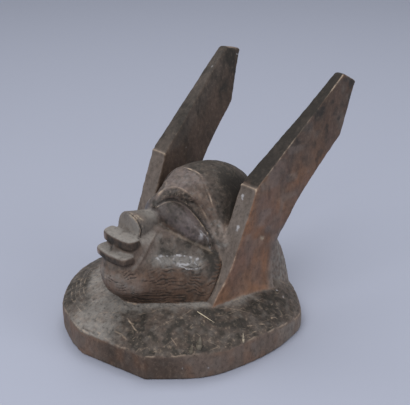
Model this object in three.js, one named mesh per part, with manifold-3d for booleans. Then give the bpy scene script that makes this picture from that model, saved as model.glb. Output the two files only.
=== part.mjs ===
// A carved wooden headdress: a head with its face tilted up lies on an oval base plate, and two long
// plank-like hare's ears rise from its temples. It is one piece of wood, hewn from a single block.
// Millimetres. +Z is up, the face looks along -Y and X = 0 is the plane of symmetry. The origin is on
// the underside, in the middle of the whole carving's length and width.
import * as THREE from 'three';
import { mergeVertices } from 'three/addons/utils/BufferGeometryUtils.js';
import Module from 'manifold-3d';

const library = await Module();
library.setup();

// Base plate
const PLATE_CENTRE_Y = -4;
const PLATE_RIM = 25; // height of the upright edge in front
const PLATE_RIM_REAR = 15;
const RIM_LOWERS = [80, 125]; // where it drops to that height, as degrees from the front
const PLATE_FOOT = 43; // height of the top where the head stands on it
const PLATE_FOOT_REACH = 0.6; // where that height is reached, as a share of the way out to the edge
const PLATE_SHOULDER_REACH = 0.8;
const PLATE_SHOULDER = 35.8; // height there, which makes the slope to the edge slightly round
const PLATE_STEPS = 84;
// The outline, as degrees from the front towards +X and the distance from the plate's centre. A straight
// hewn side runs between the first two points, and a smooth curve joins the rest.
const PLATE_OUTLINE = [
  [-3, 129.5], [29, 129], [55, 120], [82, 111], [104, 111], [120, 111], [150, 103], [180, 101],
  [210, 105], [238, 110], [256, 110], [278, 111], [305, 120], [330, 127], [345, 128],
];
const OUTLINE_STEPS = 24; // on each stretch of the curve

// Hollow under the plate, which the wearer's crown fills
const HOLLOW_RADIUS = 78;
const HOLLOW_DEPTH = 34;
const HOLLOW_STEPS_ROUND = 32;
const HOLLOW_STEPS_DOWN = 12;

// Ears: the front and rear edge of the +X ear, from inside the plate upwards, as inner and outer X, then
// Y and Z
const EAR_FRONT = [
  [40, 68, -42, 30], [58, 66, -37, 45], [58, 69, -21, 70], [51, 70.5, -12, 92], [51, 71.8, 4, 130],
  [52, 71.5, 10, 146], [64.4, 77.7, 76, 201.5],
];
const EAR_REAR = [
  [40, 82, 34, 30], [44, 74, 37, 47], [48, 70.5, 43, 77], [52, 72, 51, 95], [56, 74.5, 63, 118],
  [60, 77.5, 84, 143], [64, 81.2, 115, 174],
];
// The front and rear edge at the tip, which is cut off flatter on the -X ear
const EAR_TIP = [[71.3, 81.2, 113, 233.5], [70.6, 80.5, 133, 223.5]];
const EAR_TIP_FAR = [[71.3, 81.2, 113, 232], [70.6, 80.5, 133, 227.5]];

// Head
const HEART = [0, -14, 84]; // the point from which the head's surface is seen all round
const HEAD_FARTHEST = 130; // no part of the head is farther from it
const HEAD_STEPS_ACROSS = 58;
// Zones round the head, as degrees from the level in front upwards and over, with the steps in each:
// the face, the crown and nape, and what is buried in the plate
const HEAD_ZONES = [[-42, 98, 46], [98, 215, 17], [215, 318, 5]];
const HEAD_BOTTOM = 12; // buried in the plate, which the hollow then cuts into

// Jaw and cheeks: level sections of one height each, as half the width and the reach to the front of JAW_Y
const JAW_SECTIONS = [[30, 67, 60], [42, 66, 73], [60, 61, 87], [74, 56, 91], [92, 52, 88], [115, 50, 82]];
const JAW_Y = -15;
const JAW_POINT = 1.38; // 1 is a straight-sided point, 2 an oval
const JAW_REAR_REACH = 90;
const JAW_BACK_Y = 4;
const JAW_TOP = 112;
const CHEEK_MIDDLE = [31, -39, 95];
const CHEEK_NORMAL = [0.72, -0.26, 0.64];
const CHEEK_ROUND = 12;

// Chin, and the block of the mouth between the nose and the chin
const CHIN = { centre: [0, -72, 70], radii: [28, 30, 22.5], squareness: 2.3 };
const CHIN_ROUND = 12;
const MOUTH = { centre: [0, -75, 90], radii: [22, 19, 19], squareness: 3.4 };
const MOUTH_ROUND = 6;

// Upper face: a flat panel for each eye, a sloping forehead, the shoulders between them and the bridge of
// the nose, each as a point on it and its outward direction
const EYE_MIDDLE = [27, -33, 108];
const EYE_NORMAL = [0.825, -0.414, 0.385];
const TEMPLE_MIDDLE = [21, -16, 137];
const TEMPLE_NORMAL = [0.569, -0.4, 0.718];
const FOREHEAD_MIDDLE = [0, -25, 142.5];
const FOREHEAD_NORMAL = [0, -0.281, 0.96];
const BRIDGE_MIDDLE = [0, -50, 131];
const BRIDGE_NORMAL = [0, -0.88, 0.47];
const PANEL_ROUND = 8;
const BRIDGE_ROUND = 6;
const FACE_HALF_WIDTH = 50;
const FACE_SIDE_ROUND = 5;
const FACE_ROUND = 3;
const HAIRLINE_Y = -5;
const HAIR_OVERLAP = 2; // how far the face runs under the hair
const CHEEK_OVERLAP = 4; // how far the eye's panel runs down behind the cheek

// Eye socket, on the eye's flat panel: outwards along the eye, and up across it. The brow arches over it,
// and the straight top of the cheek closes it below.
const EYE_ALONG = [0.564, 0.643, -0.517];
const EYE_UP = [-0.034, 0.644, 0.765];
const SOCKET_LEFT = -38;
const SOCKET_RIGHT = 43;
const SOCKET_FLOOR = -14.5;
const BROW_RISE = 41;
const BROW_LEAN = 0.75; // under 1 moves the top of the arch towards the nose
const BROW_FULLNESS = 0.62;
const SOCKET_DEPTH = 5.5;
const SOCKET_WALL = 5; // how wide its sloping edge is
const SOCKET_OUTER_WALL = 16; // how far from its outer end it starts to run out
const SOCKET_REACH = [12, 20]; // distance from the panel over which it fades

// Eyeball under its lid: a long almond that bulges from the socket and drops towards its outer end
const EYEBALL = { centre: [-3, 0.5, -8], radii: [34, 13.5, 10.5], squareness: 1.9 };
const EYEBALL_SLOPE = 0.14;
const EYEBALL_ROUND = 2;

// Cap of hair: a smooth dome that starts with a low step at the hairline
const CAP = { centre: [0, 12, 94], radii: [48, 74, 55], squareness: 2 };
const CAP_BACK = 63;
const CAP_EDGE_ROUND = 1.5;
const CAP_SEAM = 0.6;

// Back of the head and neck, which spreads out to the plate: level sections as the jaw's, behind NAPE_Y
const NAPE_SECTIONS = [
  [20, 73, 84], [42, 67.5, 81], [57, 66.5, 75], [72, 65, 66], [95, 58, 59], [120, 40, 46],
];
const NAPE_Y = 10;
const NAPE_FRONT_Y = -14;
const NAPE_FRONT_ROUND = 6;
const NAPE_TOP = 118;
const NAPE_TOP_ROUND = 30;
const NAPE_SQUARENESS = 3;
const NAPE_ROUND = 10;

// Nose: a short block with an upright D-shaped front face, which narrows towards its root
const NOSE = {
  halfWidth: 15, height: 23, base: 104.5, frontY: -80, lean: 0.07, depth: 44, narrowing: 0.6, lowering: 0.4,
};
const NOSE_BULGE = 3; // how far the D's sides swell out
const NOSE_CORNER = 0.75; // height of the D's shoulder as a share of the whole
const NOSE_TOP_FLAT = 10;

// Lips: straight slabs, as the front of each, its middle height, thickness and half its length
const LIPS = [
  { frontY: -96, height: 105, thickness: 9, halfLength: 20 },
  { frontY: -104, height: 92, thickness: 7.5, halfLength: 20.5 },
];
const LIP_DEPTH = 14;
const LIP_BOW = 2; // how much farther forward its middle stands than its corners
const LIP_CORNER = 5;
const LIP_BEVEL = 1.5;

const smooth = (edge0, edge1, value) => THREE.MathUtils.smoothstep(value, edge0, edge1);

// What two solids have in common, and the two joined, from their distances, rounded over a width
const common = (a, b, width) => Math.max(a, b) + (Math.max(width - Math.abs(a - b), 0) ** 2) / (4 * width);
const joined = (a, b, width) => -common(-a, -b, width);

// Signed distance from the plane through a point, positive on the side that its normal points to
function plane(point, through, normal) {
  const length = Math.hypot(...normal);
  return normal.reduce((sum, part, axis) => sum + (part * (point[axis] - through[axis])) / length, 0);
}

// Rough signed distance from an ellipsoid, which is boxy where its squareness is over 2
function ellipsoid(point, { centre, radii, squareness }) {
  const sum = radii.reduce((s, r, axis) => s + Math.abs((point[axis] - centre[axis]) / r) ** squareness, 0);
  return (sum ** (1 / squareness) - 1) * Math.min(...radii);
}

// Width and reach of level sections at a height
function between(sections, height) {
  const last = sections.length - 1;
  if (height <= sections[0][0]) return sections[0].slice(1);
  if (height >= sections[last][0]) return sections[last].slice(1);
  const above = sections.findIndex((section) => section[0] > height);
  const [low, high] = [sections[above - 1], sections[above]];
  const share = (height - low[0]) / (high[0] - low[0]);
  return low.slice(1).map((value, index) => value + (high[index + 1] - value) * share);
}

// Jaw and cheeks: an upright wall with a blunt point in front, cut off by the sloping cheek
function jaw(point) {
  const [width, reach] = between(JAW_SECTIONS, point[2]);
  const inFront = point[1] < JAW_Y;
  const power = inFront ? JAW_POINT : 2;
  const across = Math.abs(point[0]) / width;
  const along = Math.abs(point[1] - JAW_Y) / (inFront ? reach : JAW_REAR_REACH);
  const wall = ((across ** power + along ** power) ** (1 / power) - 1) * width;
  const capped = common(wall, plane(point, CHEEK_MIDDLE, CHEEK_NORMAL), CHEEK_ROUND);
  return Math.max(capped, point[1] - JAW_BACK_Y, point[2] - JAW_TOP);
}

// A place on the eye's flat panel: along the eye, up across it, and off the panel
function onPanel(point) {
  const away = point.map((value, axis) => value - EYE_MIDDLE[axis]);
  const along = (direction) => direction.reduce((sum, part, axis) => sum + part * away[axis], 0);
  return [along(EYE_ALONG), along(EYE_UP), along(EYE_NORMAL)];
}

function upperFace(point) {
  let depth = plane(point, EYE_MIDDLE, EYE_NORMAL);
  depth = common(depth, plane(point, TEMPLE_MIDDLE, TEMPLE_NORMAL), PANEL_ROUND);
  depth = common(depth, plane(point, FOREHEAD_MIDDLE, FOREHEAD_NORMAL), PANEL_ROUND);
  depth = common(depth, plane(point, BRIDGE_MIDDLE, BRIDGE_NORMAL), BRIDGE_ROUND);
  depth = common(depth, point[0] - FACE_HALF_WIDTH, FACE_SIDE_ROUND);
  const belowSocket = SOCKET_FLOOR - CHEEK_OVERLAP - onPanel(point)[1];
  return Math.max(depth, point[1] - HAIRLINE_Y - HAIR_OVERLAP, belowSocket);
}

function browHeight(along) {
  const share = THREE.MathUtils.clamp((along - SOCKET_LEFT) / (SOCKET_RIGHT - SOCKET_LEFT), 0, 1);
  return SOCKET_FLOOR + BROW_RISE * Math.sin(Math.PI * share ** BROW_LEAN) ** BROW_FULLNESS;
}

function socketDepth(point) {
  const [along, up, off] = onPanel(point);
  const inside = Math.min(browHeight(along) - up, up - SOCKET_FLOOR, along - SOCKET_LEFT);
  const runsOut = smooth(0, SOCKET_OUTER_WALL, SOCKET_RIGHT - along);
  const fades = 1 - smooth(...SOCKET_REACH, Math.abs(off));
  return SOCKET_DEPTH * runsOut * fades * smooth(0, SOCKET_WALL, inside);
}

function eyeball(point) {
  const [along, up, off] = onPanel(point);
  return ellipsoid([along, up + EYEBALL_SLOPE * along, off], EYEBALL);
}

function cap(point) {
  const [across, ahead, upwards] = CAP.radii;
  const radii = [across, point[1] > CAP.centre[1] ? CAP_BACK : ahead, upwards];
  return common(ellipsoid(point, { ...CAP, radii }), HAIRLINE_Y - point[1], CAP_EDGE_ROUND);
}

function nape(point) {
  const [width, reach] = between(NAPE_SECTIONS, point[2]);
  const across = Math.abs(point[0]) / width;
  const along = Math.max(point[1] - NAPE_Y, 0) / reach;
  const round = (across ** NAPE_SQUARENESS + along ** NAPE_SQUARENESS) ** (1 / NAPE_SQUARENESS);
  const wall = common((round - 1) * width, NAPE_FRONT_Y - point[1], NAPE_FRONT_ROUND);
  return common(wall, point[2] - NAPE_TOP, NAPE_TOP_ROUND);
}

// Rough signed distance from the head, without the nose, the lips and the ears
function head(position) {
  const point = [Math.abs(position[0]), position[1], position[2]];
  let depth = joined(jaw(point), ellipsoid(point, CHIN), CHIN_ROUND);
  depth = joined(depth, ellipsoid(point, MOUTH), MOUTH_ROUND);
  depth = joined(depth, upperFace(point), FACE_ROUND);
  depth = joined(depth + socketDepth(point), eyeball(point), EYEBALL_ROUND);
  depth = joined(depth, cap(point), CAP_SEAM);
  return Math.max(joined(depth, nape(point), NAPE_ROUND), HEAD_BOTTOM - point[2]);
}

// Where a ray from the heart leaves the head: stepping inwards from far out, then halving the last step
function surfaceAlong(direction) {
  const at = (distance) => HEART.map((value, axis) => value + direction[axis] * distance);
  const stride = 2;
  const halvings = 12;
  let inner = HEAD_FARTHEST;
  while (inner > stride && head(at(inner)) > 0) inner -= stride;
  let outer = inner + stride;
  for (let step = 0; step < halvings; step += 1) {
    const middle = (inner + outer) / 2;
    if (head(at(middle)) > 0) outer = middle;
    else inner = middle;
  }
  return at(inner);
}

// A closed geometry as a solid that can be joined and cut, and back
function toSolid(geometry) {
  const bare = geometry.clone();
  bare.deleteAttribute('normal');
  bare.deleteAttribute('uv');
  const merged = mergeVertices(bare, 1e-4);
  return new library.Manifold(new library.Mesh({
    numProp: 3,
    vertProperties: new Float32Array(merged.getAttribute('position').array),
    triVerts: new Uint32Array(merged.index.array),
  }));
}

function toGeometry(solid) {
  const mesh = solid.getMesh();
  const geometry = new THREE.BufferGeometry();
  geometry.setAttribute('position', new THREE.BufferAttribute(mesh.vertProperties, 3));
  geometry.setIndex(new THREE.BufferAttribute(mesh.triVerts, 1));
  geometry.computeVertexNormals();
  return geometry;
}

function moveVertices(geometry, move) {
  const positions = geometry.getAttribute('position');
  for (let index = 0; index < positions.count; index += 1) {
    positions.setXYZ(index, ...move(positions.getX(index), positions.getY(index), positions.getZ(index)));
  }
  return geometry;
}

// Plate outline: a smooth closed curve with one straight side
function plateOutline() {
  const toPoint = ([degrees, distance]) => {
    const angle = THREE.MathUtils.degToRad(degrees);
    return new THREE.Vector2(distance * Math.sin(angle), -distance * Math.cos(angle));
  };
  const [start, corner, ...rest] = PLATE_OUTLINE.map(toPoint);
  const outline = new THREE.Shape();
  outline.moveTo(start.x, start.y);
  outline.lineTo(corner.x, corner.y);
  outline.splineThru([...rest, start]);
  return outline.getPoints(OUTLINE_STEPS);
}

// Distance from the plate's centre to its edge, in the direction of an angle from the front
function edgeDistance(points, angle) {
  const direction = new THREE.Vector2(Math.sin(angle), -Math.cos(angle));
  const slack = 1e-9;
  for (let index = 0; index < points.length - 1; index += 1) {
    const [a, b] = [points[index], points[index + 1]];
    const side = b.clone().sub(a);
    const cross = direction.cross(side);
    const distance = a.cross(side) / cross;
    const share = a.cross(direction) / cross;
    if (distance > 0 && share >= -slack && share <= 1 + slack) return distance;
  }
  throw new Error('The plate outline is open.');
}

function rimHeight(angle) {
  const lowered = smooth(...RIM_LOWERS, Math.abs(THREE.MathUtils.radToDeg(angle)));
  return THREE.MathUtils.lerp(PLATE_RIM, PLATE_RIM_REAR, lowered);
}

// Plate: a turned disc of radius 1 whose points move out to the outline
function plate() {
  const points = plateOutline();
  const bottomRing = 0.5; // an extra ring under the plate, which keeps the fan of faces there even
  const profile = [
    [0, 0], [bottomRing, 0], [1, 0], [1, PLATE_RIM], [PLATE_SHOULDER_REACH, PLATE_SHOULDER],
    [PLATE_FOOT_REACH, PLATE_FOOT], [0, PLATE_FOOT],
  ].map(([share, height]) => new THREE.Vector2(share, height));
  const disc = new THREE.LatheGeometry(profile, PLATE_STEPS).rotateX(Math.PI / 2);
  return toSolid(moveVertices(disc, (x, y, z) => {
    const share = Math.hypot(x, y);
    if (share < 1e-6) return [0, PLATE_CENTRE_Y, z];
    const angle = Math.atan2(x, -y);
    const reach = edgeDistance(points, angle);
    return [x * reach, PLATE_CENTRE_Y + y * reach, z === PLATE_RIM ? rimHeight(angle) : z];
  }));
}

function hollow() {
  const dome = new THREE.SphereGeometry(1, HOLLOW_STEPS_ROUND, HOLLOW_STEPS_DOWN).rotateX(Math.PI / 2);
  return toSolid(dome.scale(HOLLOW_RADIUS, HOLLOW_RADIUS, HOLLOW_DEPTH).translate(0, PLATE_CENTRE_Y, 0));
}

// The +X ear: four-sided rings from the plate to the tip, made by moving the corners of a box
function ear([frontTip, rearTip]) {
  const front = [...EAR_FRONT, frontTip];
  const rear = [...EAR_REAR, rearTip];
  const stretches = front.length - 1;
  const box = new THREE.BoxGeometry(1, 1, 1, 1, 1, stretches);
  return toSolid(moveVertices(box, (x, y, z) => {
    const ring = Math.round((z + 0.5) * stretches);
    const [inner, outer, alongY, height] = y < 0 ? front[ring] : rear[ring];
    return [x < 0 ? inner : outer, alongY, height];
  }));
}

// The head's skin: half rings from ear to ear, closer together over the face
function headSkin() {
  const angles = HEAD_ZONES.flatMap(([from, to, steps]) => (
    Array.from({ length: steps }, (_, step) => THREE.MathUtils.lerp(from, to, step / steps))
  )).map(THREE.MathUtils.degToRad);
  const ball = new THREE.SphereGeometry(1, angles.length, HEAD_STEPS_ACROSS);
  return toSolid(moveVertices(ball, (x, y, z) => {
    const radius = Math.hypot(x, z);
    const turn = Math.atan2(z, -x) / (2 * Math.PI) + 1;
    const angle = angles[Math.round(turn * angles.length) % angles.length];
    return surfaceAlong([-y, -radius * Math.cos(angle), radius * Math.sin(angle)]);
  }));
}

function nose() {
  const { halfWidth, height } = NOSE;
  const shoulder = height * NOSE_CORNER;
  const side = halfWidth + NOSE_BULGE;
  const outline = new THREE.Shape();
  outline.moveTo(-halfWidth, 0);
  outline.bezierCurveTo(-side, shoulder, -NOSE_TOP_FLAT, height, 0, height);
  outline.bezierCurveTo(NOSE_TOP_FLAT, height, side, shoulder, halfWidth, 0);
  outline.closePath();
  const block = new THREE.ExtrudeGeometry(outline, {
    depth: NOSE.depth,
    bevelEnabled: false,
    curveSegments: 10,
  });
  return toSolid(moveVertices(block, (x, y, z) => {
    const towardsRoot = z / NOSE.depth;
    const narrowed = -x * (1 - NOSE.narrowing * towardsRoot);
    const frontY = NOSE.frontY + y * NOSE.lean * (1 - towardsRoot);
    return [narrowed, frontY + z, NOSE.base + y * (1 - NOSE.lowering * towardsRoot)];
  }));
}

function lip({ frontY, height, thickness, halfLength }) {
  const corner = halfLength - LIP_CORNER;
  const outline = new THREE.Shape();
  outline.moveTo(-halfLength, LIP_DEPTH);
  outline.quadraticCurveTo(-halfLength - 1, 2, -corner, 1);
  outline.quadraticCurveTo(0, -LIP_BOW, corner, 1);
  outline.quadraticCurveTo(halfLength + 1, 2, halfLength, LIP_DEPTH);
  outline.closePath();
  const slab = new THREE.ExtrudeGeometry(outline, {
    depth: thickness - 2 * LIP_BEVEL,
    bevelThickness: LIP_BEVEL,
    bevelSize: LIP_BEVEL,
    bevelOffset: -LIP_BEVEL,
    bevelSegments: 2,
    curveSegments: 6,
  });
  return toSolid(slab.translate(0, frontY, height - thickness / 2 + LIP_BEVEL));
}

const pieces = [headSkin(), ear(EAR_TIP), ear(EAR_TIP_FAR).mirror([1, 0, 0]), nose(), ...LIPS.map(lip)];
const block = pieces.reduce((carving, piece) => carving.add(piece), plate());

const wood = new THREE.MeshStandardMaterial({ color: 0x4a3f38, roughness: 0.62, metalness: 0 });
const headdress = new THREE.Mesh(toGeometry(block.subtract(hollow())), wood);
headdress.name = 'headdress';

const model = new THREE.Group();
model.add(headdress);
export default model;
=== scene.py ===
"""A carved wooden headdress, made in one piece: a head with its face tilted up on an oval base plate, and two
long plank-like hare's ears. Sizes are in millimetres until the finished mesh is scaled to metres."""
from __future__ import annotations

import itertools
import logging
from dataclasses import dataclass
from typing import Sequence

import bmesh
import bpy
import numpy as np
from mathutils import Matrix, Vector

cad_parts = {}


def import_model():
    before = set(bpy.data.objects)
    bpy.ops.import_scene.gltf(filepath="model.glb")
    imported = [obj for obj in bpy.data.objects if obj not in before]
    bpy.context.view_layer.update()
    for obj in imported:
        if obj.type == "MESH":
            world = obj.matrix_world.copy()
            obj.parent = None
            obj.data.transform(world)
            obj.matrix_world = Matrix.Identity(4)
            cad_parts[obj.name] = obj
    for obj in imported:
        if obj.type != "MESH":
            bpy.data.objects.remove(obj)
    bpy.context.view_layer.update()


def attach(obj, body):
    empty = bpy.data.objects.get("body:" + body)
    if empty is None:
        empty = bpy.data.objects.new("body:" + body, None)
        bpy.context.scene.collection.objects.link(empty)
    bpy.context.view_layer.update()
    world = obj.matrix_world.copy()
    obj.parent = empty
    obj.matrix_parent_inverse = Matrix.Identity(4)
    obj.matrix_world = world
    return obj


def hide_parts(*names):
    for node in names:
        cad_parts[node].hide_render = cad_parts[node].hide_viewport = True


log = logging.getLogger("headdress")

METRES = 0.001
VOXEL = 1.1
MOST_TRIANGLES = 192000
# How many sides a face has that isn't the cap of a ring, and the segments of a rounded edge
QUAD = 4
BEVEL_SEGMENTS = 3
# A small step in place of none, in millimetres
TINY = 1e-3
# Rounds of averaging for the wide curving, and what a point keeps of its own value in each
WIDE_ROUNDS = 12
OWN_SHARE = 0.4

Place = tuple[float, float, float]
Row = tuple[float, ...]
Masks = dict[str, np.ndarray]

# Heights of the fine carving in millimetres, by place
RELIEF = {
    "broad waves": 0.35, "small waves": 0.17, "grain": 0.07, "worn edges": -0.22,
    "jaw swelling": 2.4, "jaw furrows": -0.38,
    "rim flats": 0.25, "rim grain": 0.14, "rim waves": 0.2, "adze cuts": 0.35, "end grain": 0.2,
    "right end grain": 0.25, "top grain": 0.3, "hatching": 0.35, "plate chips": -0.35, "edge split": -1.2,
    "ear flats": 0.12, "ear waves": 0.22, "ear chips": -0.05, "low ear chips": -0.2, "ear heel": -1.6,
    "below the step": 0.6, "above the step": -0.6,
    "lid line": -0.9, "lid edge": 0.35, "brow edge": 0.3, "brow shade": -0.1, "rough brow shade": -0.7,
    "eyelid": 0.25, "hair ridge": 0.3, "hair groove": -0.3, "cheek ridge": 0.7, "mouth fold": 0.9,
    "nose crack": -1.8,
}


def rise(low: float, high: float, value: np.ndarray) -> np.ndarray:
    """Smooth rise from 0 at low to 1 at high."""
    share = np.clip((value - low) / (high - low), 0, 1)
    return share * share * (3 - 2 * share)


def bump_at(distance: np.ndarray, width: float) -> np.ndarray:
    """Bell-shaped bump that is 1 where the distance is 0."""
    return np.exp(-((distance / width) ** 2))


def common(a: np.ndarray, b: np.ndarray, width: float) -> np.ndarray:
    """Distance from what two solids have in common, rounded over a width."""
    return np.maximum(a, b) + np.maximum(width - np.abs(a - b), 0) ** 2 / (4 * width)


def joined(a: np.ndarray, b: np.ndarray, width: float) -> np.ndarray:
    """Distance from two solids joined, rounded over a width."""
    return -common(-a, -b, width)


def plane_distance(points: np.ndarray, through: Place, normal: Place) -> np.ndarray:
    """Distance from a plane, positive on the side that its normal points to."""
    return (points - np.array(through)) @ (np.array(normal) / np.linalg.norm(normal))


def power_round(parts: Sequence[np.ndarray], power: float) -> np.ndarray:
    """Share of the way out to an oval's edge, which is boxy where the power is over 2."""
    return sum(np.abs(part) ** power for part in parts) ** (1 / power)


def spline(rows: Sequence[Row], steps: int, corners: Sequence[int] = ()) -> np.ndarray:
    """Points on a smooth curve through rows of numbers, which breaks at its corners.

    Args:
        rows: What the curve passes through.
        steps: Points on each stretch.
        corners: Indices of rows at which the curve turns sharply.

    Returns:
        One row of numbers for each point.
    """
    given = np.array(rows, dtype=float)
    found = []
    for index in range(len(given) - 1):
        before = index if index == 0 or index in corners else index - 1
        last = index + 1 == len(given) - 1 or index + 1 in corners
        after = index + 1 if last else index + 2
        start, end = given[index], given[index + 1]
        leaving = (end - given[before]) / 2
        arriving = (given[after] - start) / 2
        share = np.linspace(0, 1, steps, endpoint=False)[:, None]
        found.append(
            start
            + leaving * share
            + (3 * (end - start) - 2 * leaving - arriving) * share**2
            + (2 * (start - end) + leaving + arriving) * share**3
        )
    return np.vstack([*found, given[-1:]])


def bezier(ends: Sequence[tuple[float, float]], steps: int) -> np.ndarray:
    """Points on a Bezier curve in a plane, without its last one.

    Args:
        ends: Its end points with the control points between them, three or four in all.
        steps: Number of points.

    Returns:
        One pair of numbers for each point.
    """
    levels = [np.array([end]) for end in np.array(ends, dtype=float)]
    share = np.linspace(0, 1, steps, endpoint=False)[:, None]
    while len(levels) > 1:
        levels = [a + (b - a) * share for a, b in zip(levels, levels[1:])]
    return levels[0]


def scallops(count: np.ndarray) -> np.ndarray:
    """Hollows side by side, 1 on the ridges and 0 in between."""
    return (count % 1 - 0.5) ** 2 * 4


def mirrored(points: np.ndarray) -> np.ndarray:
    """Points moved to the +X side."""
    return np.stack([np.abs(points[:, 0]), points[:, 1], points[:, 2]], axis=1)


def path_distance(points: np.ndarray, path: Sequence[Place]) -> np.ndarray:
    """Distance of each point from a path of straight stretches."""
    nearest = np.full(len(points), np.inf)
    for start, end in zip(np.array(path[:-1], dtype=float), np.array(path[1:], dtype=float)):
        side = end - start
        share = np.clip(((points - start) @ side) / (side @ side), 0, 1)
        away = np.linalg.norm(points - start - share[:, None] * side, axis=1)
        nearest = np.minimum(nearest, away)
    return nearest


class LatticeNoise:
    """Seeded smooth noise between -1 and 1."""

    SIZE = 32
    LAYERS = 3
    LAYER_SHIFT = 17.3

    def __init__(self, seed: int) -> None:
        """Fills the lattice from its own seed."""
        self.table = np.random.default_rng(seed).uniform(-1, 1, (self.SIZE,) * 3)

    def __call__(self, points: np.ndarray, *lengths: float) -> np.ndarray:
        """Noise at points, with the size of its grains along X, Y and Z, or one size for all."""
        scaled = points / np.array(lengths)
        corner = np.floor(scaled).astype(int)
        share = scaled - corner
        share = share * share * (3 - 2 * share)
        total = np.zeros(len(points))
        for step in itertools.product((0, 1), repeat=3):
            index = (corner + step) % self.SIZE
            weight = np.prod(np.where(np.array(step) == 1, share, 1 - share), axis=1)
            total += weight * self.table[index[:, 0], index[:, 1], index[:, 2]]
        return total

    def rough(self, points: np.ndarray, *lengths: float) -> np.ndarray:
        """Three layers of noise, each of half the size and half the strength."""
        total = np.zeros(len(points))
        for layer in range(self.LAYERS):
            sizes = np.array(lengths) / 2**layer
            total += self(points + self.LAYER_SHIFT * layer, *sizes) / 2**layer
        return total


def raise_rings(bm: bmesh.types.BMesh, rings: Sequence[np.ndarray]) -> list[list]:
    """Raises a capped ring through a row of places, which closes a solid.

    Args:
        bm: What the solid is added to.
        rings: The places of the vertices, one array for each ring.

    Returns:
        The vertices of every ring.
    """
    verts = bmesh.ops.create_circle(bm, cap_ends=True, radius=1, segments=len(rings[0]))["verts"]
    for vert, place in zip(verts, rings[0]):
        vert.co = place
    made = [verts]
    face = verts[0].link_faces[0]
    for places in rings[1:]:
        grown = bmesh.ops.extrude_face_region(bm, geom=[face])["geom"]
        face = next(item for item in grown if isinstance(item, bmesh.types.BMFace))
        above = [
            next(edge.other_vert(vert) for edge in vert.link_edges if edge.other_vert(vert) in grown)
            for vert in made[-1]
        ]
        for vert, place in zip(above, places):
            vert.co = place
        made.append(above)
    return made


def bevel_edges(bm: bmesh.types.BMesh, edges: list, width: float) -> None:
    """Rounds edges over a width."""
    bmesh.ops.bevel(
        bm, geom=edges, offset=width, affect="EDGES", segments=BEVEL_SEGMENTS, profile=0.5, material=-1,
        clamp_overlap=True,
    )


def caps_at(ring: list) -> list:
    """The faces with many sides at a ring of vertices."""
    return [face for face in ring[0].link_faces if len(face.verts) > QUAD]


def edges_between(first: list, second: list) -> list:
    """The edges that join two rings of vertices of the same count."""
    return [edge for a, b in zip(first, second) for edge in a.link_edges if edge.other_vert(a) is b]


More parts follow.
